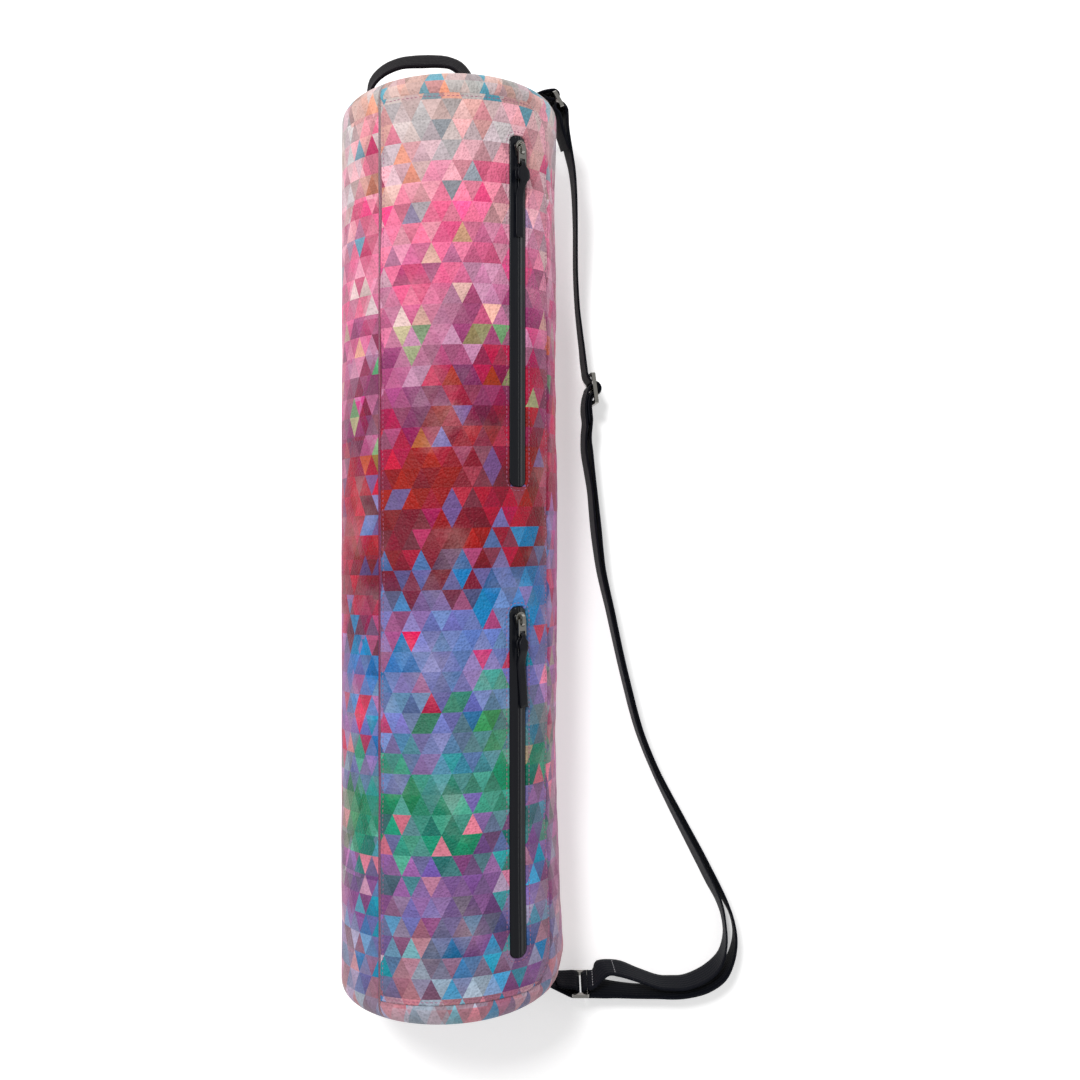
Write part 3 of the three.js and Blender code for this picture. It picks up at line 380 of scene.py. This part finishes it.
def in_slot(turn, along):
    """1 inside the slot for the main zip, falling to 0 across its turned edge."""
    sideways = np.abs(np.radians(turn - main_zip_turn)) * tube_radius - main_zip_half
    lengthways = np.abs(along) - main_zip_end
    return np.clip(1 - np.maximum(sideways, lengthways) / (0.8 * mm), 0, 1)


def seam_rise(turn, along):
    """The wrap swells up to the panel's height beside their seam."""
    arc = np.radians(turn) * tube_radius
    left, right = math.radians(panel_left) * tube_radius, math.radians(panel_right) * tube_radius
    outside = np.maximum(np.maximum(left - arc, arc - right), np.abs(along) - panel_end)
    return np.where(outside > 0, 1.5 * mm * near(outside - 2.5 * mm, 8 * mm), 0.0)


def make_wrap():
    """The tube's skin and its inner side, with a finer grid round the slot for the zip."""
    columns = list(np.linspace(panel_left, panel_right, 64)[:-1])
    columns += list(np.linspace(panel_right, panel_left + 360, 132)[:-1])
    slot_turns = [main_zip_turn + turn_of(side * (main_zip_half + step * mm)) for side in (-1, 1)
                  for step in (-0.4, 0, 0.4, 0.8)]
    clear = turn_of(1.2 * mm)
    columns = [c for c in columns if not any(abs(c - t) < clear for t in slot_turns)] + slot_turns
    columns = np.array(sorted(columns))
    straight = half_length - rim_radius
    rows = list(np.linspace(-straight, straight, 232))
    slot_rows = [side * (main_zip_end + step * mm) for side in (-1, 1) for step in (-0.4, 0, 0.4, 0.8)]
    rows = [r for r in rows if not any(abs(r - t) < 1.2 * mm for t in slot_rows)] + slot_rows
    rows = sorted(rows)
    profile = []
    rolls = np.radians(np.linspace(90, 0, 9))
    profile += [(-straight - rim_radius * math.sin(a), -rim_radius * (1 - math.cos(a)), 0.0)
                for a in rolls[:-1]]
    profile += [(r, 0.0, 0.0) for r in rows]
    profile += [(straight + rim_radius * math.sin(a), -rim_radius * (1 - math.cos(a)), 0.0)
                for a in rolls[::-1][1:]]
    inner = rim_radius - cloth_thick
    for side in (1, -1):
        for a in (rolls[::2][:-1] if side == 1 else rolls[::2][::-1][1:]):
            profile.append((side * (straight + inner * math.sin(a)),
                            -cloth_thick - inner * (1 - math.cos(a)), cloth_thick))
        if side == 1:
            profile += [(r, -cloth_thick, cloth_thick) for r in rows[::-8]]
    points, uv = [], []
    arc = np.radians(columns) * tube_radius
    # the padded rims stand out most at the front of both ends
    rim_swell = 4 * mm * np.clip(np.cos(np.radians(columns - 8)), 0, 1) ** 1.5
    for along, out, floor in profile:
        near_end = np.clip((abs(along) - straight + 14 * mm) / (rim_radius + 14 * mm), 0, 1) ** 1.5
        alongs = np.full_like(columns, along) + math.copysign(1, along) * near_end * rim_swell
        if floor == 0:
            outs = out + seam_rise(columns, alongs) - slot_depth * in_slot(columns, alongs)
        else:
            outs = np.full_like(columns, out - 1.6 * mm * (in_slot(columns, alongs) > 0))
        points.append(on_tube(columns, alongs, outs, floor))
        uv.append(np.stack([arc, np.full_like(arc, along)], axis=-1))
    faces = grid_faces(len(profile), len(columns), closed_rows=True, closed_columns=True)
    return new_mesh("wrap", np.concatenate(points), faces, np.concatenate(uv))


wrap = make_wrap()
wrap.data.materials.append(printed_leathercloth("printed_leathercloth_wrap", (0.37, 0.21)))
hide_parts("body_shell")
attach(wrap, "root")


# Round ends
# Each is a disc of the same leathercloth over a stiff board, sewn into the wrap's turned end.

pucker_count = 40  # small ridges round each end, drawn in by its seam


def make_end(name, side):
    """A round end with a puckered edge. side is 1 at the handle's end and -1 at the other."""
    radius = tube_radius - rim_radius - 0.3 * mm
    rings = [1, 0.985, 0.96, 0.93, 0.88, 0.8, 0.65, 0.45, 0.2]
    turns = np.linspace(0, 360, 121)[:-1]
    points, uv = [], []
    for skin_side in (1, 0):
        for share in (rings if skin_side else rings[:1]):
            across = share * radius
            x, z = across * np.sin(np.radians(turns)), across * np.cos(np.radians(turns))
            soft = 1 - (1 - share) / 0.12
            drop = (0.9 * mm * max(soft, 0) ** 2) if skin_side else cloth_thick
            ridge_deep = 0.25 * mm * max(soft, 0) * (1 - share) / 0.04 * skin_side
            ridge = ridge_deep * np.sin(np.radians(turns) * pucker_count)
            y = side * (half_length - drop + ridge)
            points.append(np.stack([x, y + end_skew * x, axis_height + z], axis=-1))
            uv.append(np.stack([x, side * (half_length + z)], axis=-1))
    count = len(rings)
    order = [count] + list(range(count))
    points, uv = [points[k] for k in order], [uv[k] for k in order]
    faces = grid_faces(count + 1, len(turns), closed_columns=True)
    last = count * len(turns)
    middle = len(points) * len(turns)
    faces += [(last + k, last + (k + 1) % len(turns), middle) for k in range(len(turns))]
    faces.append(tuple(range(len(turns) - 1, -1, -1)))
    points = np.concatenate(points + [np.array([[0, side * half_length, axis_height]])])
    uv = np.concatenate(uv + [np.array([[0, side * half_length]])])
    if side < 0:
        faces = [tuple(reversed(f)) for f in faces]
    piece = new_mesh(name, points, faces, uv)
    return piece


end_material = printed_leathercloth("printed_leathercloth_end", (0.1, 0.6))
for end_name, node_name, side in (("top_end", "top_disc", 1), ("bottom_end", "bottom_disc", -1)):
    end = make_end(end_name, side)
    end.data.materials.append(end_material)
    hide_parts(node_name)
    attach(end, "root")


# Pocket panel
# A second layer of the leathercloth laid over the front and sewn down all round. Its edges are
# turned under, and it is cut through for the two pocket zips, again with turned edges.

panel_gap = 0.5 * mm
panel_top = panel_gap + 1.4 * mm
window_half = 7.5 * mm
window_corner = 5.4 * mm
window_length = 252 * mm
window_inset = 26.5 * mm
windows = [
    (panel_end - window_inset - window_length, panel_end - window_inset),
    (window_inset - panel_end, window_inset - panel_end + window_length),
]
panel_arc_left = math.radians(panel_left) * tube_radius
panel_arc_right = math.radians(panel_right) * tube_radius
zip_arc = math.radians(zip_turn) * tube_radius


def rounded_box(left, right, low, high, radii, step):
    """Points round a box. radii are those of its corners: low right, high right, high left, low left."""
    corners = [(right, low, -90), (right, high, 0), (left, high, 90), (left, low, 180)]
    inwards = [(-1, 1), (-1, -1), (1, -1), (1, 1)]
    outline = []
    for (x, y, start), (ix, iy), radius in zip(corners, inwards, radii):
        turns = max(2, int(radius * math.pi / 2 / step) + 2) if radius > 0.01 * mm else 1
        for k in range(turns):
            a = math.radians(start + 90 * k / max(turns - 1, 1))
            outline.append((x + ix * radius + radius * math.cos(a), y + iy * radius + radius * math.sin(a)))
    spaced = []
    for (x0, y0), (x1, y1) in zip(outline, outline[1:] + outline[:1]):
        pieces = max(1, round(math.hypot(x1 - x0, y1 - y0) / step))
        spaced += [(x0 + (x1 - x0) * k / pieces, y0 + (y1 - y0) * k / pieces) for k in range(pieces)]
    return spaced


def panel_outline(inset, step=2.5 * mm):
    """The panel's edge drawn in, with round corners at its right."""
    corner = panel_corner - inset
    return rounded_box(panel_arc_left + inset, panel_arc_right - inset, inset - panel_end,
                       panel_end - inset, (corner, corner, 0, 0), step)


def window_outline(window, outset, step=2.5 * mm):
    """A zip window's edge drawn out."""
    low, high = window
    return rounded_box(zip_arc - window_half - outset, zip_arc + window_half + outset, low - outset,
                       high + outset, (window_corner + outset,) * 4, step)


def box_distance(x, y, left, right, low, high, radius):
    """Distance inside a rounded box's edge, negative outside."""
    dx = np.abs(x - (left + right) / 2) - (right - left) / 2 + radius
    dy = np.abs(y - (low + high) / 2) - (high - low) / 2 + radius
    outside = np.hypot(np.maximum(dx, 0), np.maximum(dy, 0)) + np.minimum(np.maximum(dx, dy), 0)
    return radius - outside


def panel_edge_distance(x, y):
    """Distance inside the panel's edge. Only its right corners are round, so a longer box with
    round corners is laid over a square one."""
    square = box_distance(x, y, panel_arc_left, panel_arc_right, -panel_end, panel_end, 0.0)
    beyond = panel_arc_left - 200 * mm
    round_box = box_distance(x, y, beyond, panel_arc_right, -panel_end, panel_end, panel_corner)
    return np.minimum(square, round_box)


def window_distance(x, y):
    """Distance outside the nearest window's edge."""
    gaps = [-box_distance(x, y, zip_arc - window_half, zip_arc + window_half, low, high, window_corner)
            for low, high in windows]
    return np.minimum(*gaps)


def make_panel():
    """Both faces of the panel, triangulated flat and laid on the tube, with turned edges."""
    steps = [0, 0.15 * mm, 0.5 * mm, 1.0 * mm, 1.6 * mm, 2.1 * mm, 2.6 * mm, 3.4 * mm]
    flat = [p for inset in steps for p in panel_outline(inset)]
    flat += [p for window in windows for outset in steps for p in window_outline(window, outset)]
    spacing = 3 * mm
    xs = np.arange(panel_arc_left + 5 * mm, panel_arc_right - 4.5 * mm, spacing)
    ys = np.arange(-panel_end + 5 * mm, panel_end - 4.5 * mm, spacing)
    gx, gy = np.meshgrid(xs, ys)
    gx = gx + (np.arange(len(ys)) % 2)[:, None] * spacing / 2
    gx, gy = gx.ravel(), gy.ravel()
    keep = (panel_edge_distance(gx, gy) > 4.6 * mm) & (window_distance(gx, gy) > 4.6 * mm)
    flat += list(zip(gx[keep], gy[keep]))
    scale = 1000  # the triangulation works best in numbers near 1
    coords = [Vector((x * scale, y * scale)) for x, y in flat]
    verts, _, faces, _, _, _ = geometry.delaunay_2d_cdt(coords, [], [], 0, 1e-4)
    flat = np.array([tuple(v) for v in verts]) / scale
    middles = np.array([flat[list(f)].mean(axis=0) for f in faces])
    inside = (panel_edge_distance(middles[:, 0], middles[:, 1]) > 1e-6)
    inside &= window_distance(middles[:, 0], middles[:, 1]) > 1e-6
    faces = [tuple(f) for f, ok in zip(faces, inside) if ok]
    x, y = flat[:, 0], flat[:, 1]
    hem = np.minimum(panel_edge_distance(x, y), window_distance(x, y)).clip(0, None)
    rounding = 1.3 * mm
    arch = np.sqrt(np.maximum(rounding**2 - (rounding - hem) ** 2, 0))
    fall = np.where(hem < rounding, rounding - arch, 0)
    sewn = 0.35 * mm * near(hem - 2.6 * mm, 0.7 * mm)
    turn = turn_of(x)
    top = on_tube(turn, y, panel_top - fall - sewn)
    under = on_tube(turn, y, np.full_like(x, panel_gap))
    count = len(flat)
    edges = {}
    for face in faces:
        for a, b in zip(face, face[1:] + face[:1]):
            if (b, a) in edges:
                del edges[(b, a)]
            else:
                edges[(a, b)] = True
    faces = faces + [tuple(v + count for v in reversed(f)) for f in faces]
    faces += [(b, a, a + count, b + count) for a, b in edges]
    return new_mesh("pocket_panel", np.concatenate([top, under]), faces, np.concatenate([flat, flat]))


panel = make_panel()
panel.data.materials.append(printed_leathercloth("printed_leathercloth_panel", (0.0, 0.0)))
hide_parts("front_panel")
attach(panel, "root")


# Zips
# Coated zip tape with its coil on the back, so that the front shows a smooth black film with a
# low crown over the coil and a fine slit along the middle. A cast slider rides on each crown.

crown = [  # across the tape and up from its seat, in mm, from one edge to the middle
    (1.0, 0.35), (0.93, 0.75), (0.75, 0.85), (0.52, 0.95), (0.38, 1.15), (0.3, 1.5), (0.22, 1.72),
    (0.12, 1.78), (0.04, 1.7), (0.0, 1.42),
]


def make_zip(name, turn, low, high, half, seat):
    """A strip of tape along the tube between two places, with its crown over the coil."""
    profile = [(-share, up) for share, up in crown] + [(share, up) for share, up in crown[-2::-1]]
    profile += [(1.0, 0.0), (0.5, 0.0), (-0.5, 0.0), (-1.0, 0.0)]
    radius = window_corner - 0.3 * mm
    ends = radius * (1 - np.cos(np.radians(np.linspace(0, 90, 9))))
    between = np.linspace(low + radius, high - radius, 150)[1:-1]
    rows = np.concatenate([low + ends, between, high - ends[::-1]])
    shares, ups = np.array(profile).T
    points, uv = [], []
    for along in rows:
        left = radius - min(min(along - low, high - along), radius)
        width = max(half - radius + math.sqrt(max(radius**2 - left**2, 0)), 1 * mm)
        across = np.where(np.abs(shares) > 0.45, shares * width, shares * np.minimum(half, width / 0.5))
        wave = 0.04 * math.sin(along / (1.3 * mm)) * (ups > 1.4)
        points.append(on_tube(turn + turn_of(across), along, seat + (ups + wave) * mm))
        uv.append(np.stack([across, np.full_like(across, along)], axis=-1))
    faces = grid_faces(len(rows), len(profile), closed_columns=True)
    last = (len(rows) - 1) * len(profile)
    faces.append(tuple(range(len(profile) - 1, -1, -1)))
    faces.append(tuple(range(last, last + len(profile))))
    return new_mesh(name, np.concatenate(points), faces, np.concatenate(uv))


def coated_tape():
    """Black polyurethane film on polyester zip tape, glossy with a slight long ripple."""
    material, tree, surface = new_material("coated_zip_tape")
    surface.inputs["Base Color"].default_value = linear("#0a0c13")
    surface.inputs["Specular IOR Level"].default_value = 0.28
    place = node(tree, "ShaderNodeUVMap", {"uv_map": "cloth"}).outputs["UV"]
    stretched = node(tree, "ShaderNodeMapping", None, Vector=place, Scale=(1.0, 0.12, 1.0)).outputs[0]
    ripple = node(tree, "ShaderNodeTexNoise", None, Vector=stretched, Scale=1 / (1.6 * mm), Detail=3.0)
    bump = node(tree, "ShaderNodeBump", None, Strength=0.25, Distance=0.2 * mm,
                Height=ripple.outputs["Fac"])
    tree.links.new(bump.outputs["Normal"], surface.inputs["Normal"])
    shine = node(tree, "ShaderNodeMapRange", None, Value=ripple.outputs["Fac"], To_Min=0.2, To_Max=0.42)
    tree.links.new(shine.outputs[0], surface.inputs["Roughness"])
    return material


zip_rows = [(f"pocket_zip_{where}", f"zip_tape_{where}", zip_turn, low, high, window_half, panel_gap)
            for where, (low, high) in zip(("upper", "lower"), windows)]
zip_rows.append(("main_zip", "zip_tape_main", main_zip_turn, -main_zip_end, main_zip_end,
                 main_zip_half, -cloth_thick))
tape_material = coated_tape()
for node_name, tape_name, turn, low, high, half, seat in zip_rows:
    edge = 0.3 * mm
    tape = make_zip(tape_name, turn, low + edge, high - edge, half - edge, seat)
    tape.data.materials.append(tape_material)
    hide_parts(node_name)
    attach(tape, "root")


# Metal
# Sliders, pullers, rings and the strap slide are cast zinc, tumbled round and nickel plated.
# They are the model's own pieces with their edges rounded.

def nickel():
    """Nickel plate on cast zinc, bright with faint handling marks."""
    material, tree, surface = new_material("nickel_plate")
    surface.inputs["Base Color"].default_value = linear("#96948f")
    surface.inputs["Metallic"].default_value = 1.0
    place = node(tree, "ShaderNodeTexCoord").outputs["Object"]
    cloudy = node(tree, "ShaderNodeTexNoise", None, Vector=place, Scale=1 / (3 * mm), Detail=6.0)
    shine = node(tree, "ShaderNodeMapRange", None, Value=cloudy.outputs["Fac"], To_Min=0.08, To_Max=0.26)
    tree.links.new(shine.outputs[0], surface.inputs["Roughness"])
    bump = node(tree, "ShaderNodeBump", None, Strength=0.08, Distance=0.1 * mm,
                Height=cloudy.outputs["Fac"])
    tree.links.new(bump.outputs["Normal"], surface.inputs["Normal"])
    return material


nickel_plate = nickel()


def rounded(piece, width, steps=3):
    """Rounds a model piece's edges and gives it the plated metal."""
    bevel = piece.modifiers.new("rounded", "BEVEL")
    bevel.width = width
    bevel.segments = steps
    bevel.limit_method = "ANGLE"
    bevel.angle_limit = math.radians(28)
    bevel.harden_normals = True
    piece.data.materials.clear()
    piece.data.materials.append(nickel_plate)
    piece.data.shade_smooth()


for name in ("pocket_zip_upper", "pocket_zip_lower", "main_zip"):
    rounded(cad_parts[f"{name}_slider"], 0.45 * mm)
    rounded(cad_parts[f"{name}_puller"], 0.35 * mm)
for name in ("top_ring", "bottom_ring", "strap_adjuster"):
    rounded(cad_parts[name], 0.9 * mm, 4)


# Webbing
# Black polypropylene webbing, 25 mm wide: the shoulder strap with its ends sewn round the ring
# and the slide, the tabs that hold the rings, and the doubled handle. Each follows the sections
# of its model piece, smoothed between them, with a rounded selvedge.

def sections_of(node_name):
    """The four-cornered sections of a strip, in order along it, as an array of their corners."""
    work = bmesh.new()
    work.from_mesh(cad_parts[node_name].data)
    bmesh.ops.remove_doubles(work, verts=work.verts, dist=0.002 * mm)
    work.verts.index_update()

    def cap_corners():
        for edge in work.edges:
            pair = edge.link_faces
            if len(pair) != 2 or edge.calc_face_angle() > 0.05:
                continue
            rim = [e for face in pair for e in face.edges if e is not edge]
            if all(e.calc_face_angle() > 1.0 for e in rim):
                return {v for face in pair for v in face.verts}

    def in_order(corners, before):
        if before is None:
            first, *others = corners
            others.sort(key=lambda p: (p - first).length)
            near_one, far_one, opposite = others
            return [first, near_one, opposite, far_one]
        ways = [[corners[k] for k in way] for way in itertools.permutations(range(4))]
        return min(ways, key=lambda way: sum((a - b).length for a, b in zip(way, before)))

    seen = ring = cap_corners()
    sections = []
    while ring:
        corners = [v.co.copy() for v in sorted(ring, key=lambda v: v.index)]
        sections.append(in_order(corners, sections[-1] if sections else None))
        beyond = {e.other_vert(v) for v in ring for e in v.link_edges} - seen
        seen = seen | beyond
        ring = beyond
    work.free()
    return np.array([[tuple(p) for p in section] for section in sections])


def smoothed(sections, step):
    """More sections between the given ones, on centripetal curves through their corners."""
    middles = sections.mean(axis=1)
    gaps = np.maximum(np.linalg.norm(np.diff(middles, axis=0), axis=1), 1e-5) ** 0.5
    knots = np.concatenate([[0], np.cumsum(gaps)])
    first = 2 * sections[0] - sections[1]
    last = 2 * sections[-1] - sections[-2]
    padded = np.concatenate([[first], sections, [last]])
    knots = np.concatenate([[-gaps[0]], knots, [knots[-1] + gaps[-1]]])
    made = []
    for k in range(1, len(padded) - 2):
        p0, p1, p2, p3 = padded[k - 1:k + 3]
        t0, t1, t2, t3 = knots[k - 1:k + 3]
        pieces = max(2, math.ceil(np.linalg.norm(p2.mean(axis=0) - p1.mean(axis=0)) / step))
        for j in range(pieces):
            t = t1 + (t2 - t1) * j / pieces
            a1 = (t1 - t) / (t1 - t0) * p0 + (t - t0) / (t1 - t0) * p1
            a2 = (t2 - t) / (t2 - t1) * p1 + (t - t1) / (t2 - t1) * p2
            a3 = (t3 - t) / (t3 - t2) * p2 + (t - t2) / (t3 - t2) * p3
            b1 = (t2 - t) / (t2 - t0) * a1 + (t - t0) / (t2 - t0) * a2
            b2 = (t3 - t) / (t3 - t1) * a2 + (t - t1) / (t3 - t1) * a3
            made.append((t2 - t) / (t2 - t1) * b1 + (t - t1) / (t2 - t1) * b2)
    made.append(sections[-1])
    return np.array(made)


edge_height = 0.84  # of a band's half thickness, where its rounded edge begins


def band(name, sections):
    """A woven band through sections, with rounded edges. The corners run round each section with
    the thin side first."""
    a, b, c, d = (sections[:, k] for k in range(4))
    middles = sections.mean(axis=1)
    wide = (c + d - a - b) / 4
    thin = (b + c - a - d) / 4
    width = 2 * np.linalg.norm(wide, axis=1)
    thick = 2 * np.linalg.norm(thin, axis=1)
    # across the band in shares of its half width, and through it in shares of its half thickness
    corner = [(0, 1), (0.35, 1), (0.7, 1), (1, edge_height), (1, 0)]
    top = [(-u, v) for u, v in corner[::-1]][1:-1] + corner
    under = [(u, -v) for u, v in corner[::-1]][1:-1] + [(-u, -v) for u, v in corner][:-1]
    outline = top + under
    points, uv = [], []
    lengths = np.concatenate([[0], np.cumsum(np.linalg.norm(np.diff(middles, axis=0), axis=1))])
    for u, v in outline:
        # the last bit at each edge is drawn in by half the thickness
        inset = 1 - np.where(abs(u) == 1, np.where(abs(v) > 0, 0.5, 0.0), 0.0) * thick / width
        points.append(middles + wide * (u * inset)[:, None] + thin * v)
        uv.append(np.stack([lengths, u * width / 2 + (v < 0) * 0.1], axis=-1))
    count = len(outline)
    points = np.stack(points, axis=1).reshape(-1, 3)
    uv = np.stack(uv, axis=1).reshape(-1, 2)
    faces = grid_faces(len(sections), count, closed_columns=True)
    last = (len(sections) - 1) * count
    faces.append(tuple(range(count - 1, -1, -1)))
    faces.append(tuple(range(last, last + count)))
    made = new_mesh(name, points, faces, uv)
    work = bmesh.new()
    work.from_mesh(made.data)
    bmesh.ops.recalc_face_normals(work, faces=work.faces)
    work.to_mesh(made.data)
    work.free()
    return made


def webbing(name, colour, gloss, sheen):
    """Black polypropylene yarns woven in narrow slanted ribs, dull on top with a silky side light."""
    material, tree, surface = new_material(name)
    place = node(tree, "ShaderNodeUVMap", {"uv_map": "cloth"}).outputs["UV"]
    twill_turn = (0, 0, math.radians(32))
    slanted = node(tree, "ShaderNodeMapping", None, Vector=place, Rotation=twill_turn).outputs[0]
    twill = node(tree, "ShaderNodeTexWave", {"wave_type": "BANDS"}, Vector=slanted,
                 Scale=1 / (1.1 * mm) / 6.28, Distortion=0.6, Detail=2.0, Detail_Scale=2.0)
    ribs = node(tree, "ShaderNodeTexWave", {"wave_type": "BANDS", "bands_direction": "Y"}, Vector=place,
                Scale=1 / (1.7 * mm) / 6.28, Distortion=0.3)
    height = node(tree, "ShaderNodeMath", {"operation": "MULTIPLY_ADD"}, i0=twill.outputs["Fac"], i1=0.6,
                  i2=ribs.outputs["Fac"]).outputs[0]
    bump = node(tree, "ShaderNodeBump", None, Strength=0.5, Distance=0.22 * mm, Height=height)
    tree.links.new(bump.outputs["Normal"], surface.inputs["Normal"])
    surface.inputs["Base Color"].default_value = linear(colour)
    surface.inputs["Roughness"].default_value = 0.6
    surface.inputs["Specular IOR Level"].default_value = gloss
    surface.inputs["Sheen Weight"].default_value = sheen
    surface.inputs["Sheen Roughness"].default_value = 0.35
    return material


strap_material = webbing("polypropylene_webbing", "#0f1118", 0.06, 0.012)
handle_material = webbing("polypropylene_handle_webbing", "#141115", 0.03, 0.005)
strips = {}
for node_name in ("handle", "top_tab", "bottom_tab", "strap_upper", "strap_outer", "strap_inner"):
    strips[node_name] = smoothed(sections_of(node_name), 4 * mm)
    piece = band(f"{node_name}_webbing", strips[node_name])
    piece.data.materials.append(handle_material if node_name == "handle" else strap_material)
    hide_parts(node_name)
    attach(piece, "root")


# Pull tabs
# A length of black satin ribbon looped through each puller, its short end folded back wide.

def satin():
    """Black woven polyester satin, dark slate where it catches the light."""
    material, tree, surface = new_material("polyester_satin")
    place = node(tree, "ShaderNodeUVMap", {"uv_map": "cloth"}).outputs["UV"]
    yarns = node(tree, "ShaderNodeTexWave", {"wave_type": "BANDS", "bands_direction": "Y"}, Vector=place,
                 Scale=1 / (0.5 * mm) / 6.28, Distortion=1.0)
    bump = node(tree, "ShaderNodeBump", None, Strength=0.3, Distance=0.08 * mm, Height=yarns.outputs["Fac"])
    tree.links.new(bump.outputs["Normal"], surface.inputs["Normal"])
    surface.inputs["Base Color"].default_value = linear("#0c0d14")
    surface.inputs["Roughness"].default_value = 0.38
    surface.inputs["Specular IOR Level"].default_value = 0.2
    return material


satin_ribbon = satin()
for name in ("pocket_zip_upper", "pocket_zip_lower", "main_zip"):
    ribbon = band(f"{name}_ribbon", smoothed(sections_of(f"{name}_pull_tab"), 2.5 * mm))
    ribbon.data.materials.append(satin_ribbon)
    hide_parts(f"{name}_pull_tab")
    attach(ribbon, "root")


# Stitches
# Polyester sewing thread in stitches of about 3 mm: round the panel and both windows in dusty
# pink, and in grey across the webbing's sewn ends.

stitch_length = 2.4 * mm
stitch_pitch = 3.3 * mm
# along a stitch as a share of its length, its thickness as a share, and its rise in thread radii
stitch_shape = [(0, 0.25, -0.6), (0.15, 0.8, 0.1), (0.5, 1, 0.5), (0.85, 0.8, 0.1), (1, 0.25, -0.6)]


def stitch_rows(name, paths, colour, radius):
    """One piece of small rounded stitches. Each path is a list of points and outward directions."""
    points, faces = [], []
    count = 6
    sides = np.radians(np.arange(count) * 360 / count)
    for path, outwards in paths:
        path, outwards = np.array(path), np.array(outwards)
        lengths = np.concatenate([[0], np.cumsum(np.linalg.norm(np.diff(path, axis=0), axis=1))])
        for start in np.arange(0.3 * mm, lengths[-1] - stitch_length, stitch_pitch):
            for share, thick, lift in stitch_shape:
                at = start + share * stitch_length
                spot = np.array([np.interp(at, lengths, path[:, k]) for k in range(3)])
                ahead = np.array([np.interp(at + 0.5 * mm, lengths, path[:, k]) for k in range(3)])
                behind = np.array([np.interp(at - 0.5 * mm, lengths, path[:, k]) for k in range(3)])
                out = np.array([np.interp(at, lengths, outwards[:, k]) for k in range(3)])
                side = np.cross(ahead - behind, out)
                side /= np.linalg.norm(side)
                out /= np.linalg.norm(out)
                points += [spot + (side * np.cos(a) * thick + out * (np.sin(a) * thick + lift)) * radius
                           for a in sides]
            first = len(points) - count * len(stitch_shape)
            faces += [tuple(first + v for v in face)
                      for face in grid_faces(len(stitch_shape), count, closed_columns=True)]
    thread, _, surface = new_material(f"{name}_polyester_thread")
    surface.inputs["Base Color"].default_value = linear(colour)
    surface.inputs["Roughness"].default_value = 0.5
    surface.inputs["Sheen Weight"].default_value = 0.3
    piece = new_mesh(name, points, faces)
    piece.data.materials.append(thread)
    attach(piece, "root")
    return piece


def on_cloth(outline, out):
    """A closed line of flat places on the panel as points on the bag with their outward directions."""
    flat = np.array(outline + outline[:1])
    turns = turn_of(flat[:, 0])
    angles = np.radians(turns)
    outwards = np.stack([np.sin(angles), np.zeros(len(turns)), np.cos(angles)], axis=-1)
    return on_tube(turns, flat[:, 1], out), outwards


def across_band(section, face):
    """A line across a webbing section on one of its faces."""
    a, b, c, d = section
    low, high = (b, c) if face > 0 else (a, d)
    out = (b - a) if face > 0 else (a - b)
    steps = np.linspace(0.08, 0.92, 12)[:, None]
    return low + (high - low) * steps + out / np.linalg.norm(out) * 0.1 * mm, np.tile(out, (12, 1))


sewn_line = panel_top - 0.3 * mm
cloth_paths = [on_cloth(panel_outline(2.6 * mm), sewn_line)]
cloth_paths += [on_cloth(window_outline(window, 2.6 * mm), sewn_line) for window in windows]
stitch_rows("panel_stitches", cloth_paths, "#a35c7c", 0.27 * mm)
web_paths = []
for node_name, at in (("strap_upper", 3), ("strap_upper", 9), ("strap_inner", -3), ("strap_inner", -9)):
    for face in (1, -1):
        web_paths.append(across_band(strips[node_name][at], face))
stitch_rows("webbing_stitches", web_paths, "#8c8c90", 0.3 * mm)


# Studio
# A white floor that glows a little like a light table, even light all round, and one lamp high
# at the upper left, whose short soft shadow falls at the right of the bag and below it.

floor_mesh = bpy.data.meshes.new("floor")
floor_mesh.from_pydata([(-3, -3, 0), (3, -3, 0), (3, 3, 0), (-3, 3, 0)], [], [(0, 1, 2, 3)])
floor = bpy.data.objects.new("floor", floor_mesh)
bpy.context.scene.collection.objects.link(floor)
paper, _, paper_surface = new_material("white_paper")
paper_surface.inputs["Base Color"].default_value = linear("#e8e8e8")
paper_surface.inputs["Roughness"].default_value = 0.9
paper_surface.inputs["Emission Color"].default_value = (1.0, 1.0, 1.0, 1.0)
paper_surface.inputs["Emission Strength"].default_value = 0.4
floor_mesh.materials.append(paper)


def add_light(name, place, aim, size, power):
    lamp = bpy.data.lights.new(name, "AREA")
    lamp.shape = "RECTANGLE"
    lamp.size, lamp.size_y = size
    lamp.energy = power
    light = bpy.data.objects.new(name, lamp)
    light.location = place
    light.rotation_euler = (Vector(aim) - Vector(place)).to_track_quat("-Z", "Y").to_euler()
    bpy.context.scene.collection.objects.link(light)


add_light("key", (-0.5, 1.12, 2.25), (0.05, 0.0, 0.0), (0.5, 0.5), 43)
world = bpy.data.worlds.new("studio")
world.use_nodes = True
world.node_tree.nodes["Background"].inputs["Color"].default_value = (1.0, 1.0, 1.0, 1.0)
world.node_tree.nodes["Background"].inputs["Strength"].default_value = 0.55
bpy.context.scene.world = world
bpy.context.scene.view_settings.view_transform = "Standard"

camera_data = bpy.data.cameras.new("camera")
camera_data.sensor_width = 36
camera_data.lens = 43.43
camera = bpy.data.objects.new("camera", camera_data)
camera.location = (69.2 * mm, 6.4 * mm, 1076 * mm)  # straight above, with the handle end up
bpy.context.scene.collection.objects.link(camera)
bpy.context.scene.camera = camera
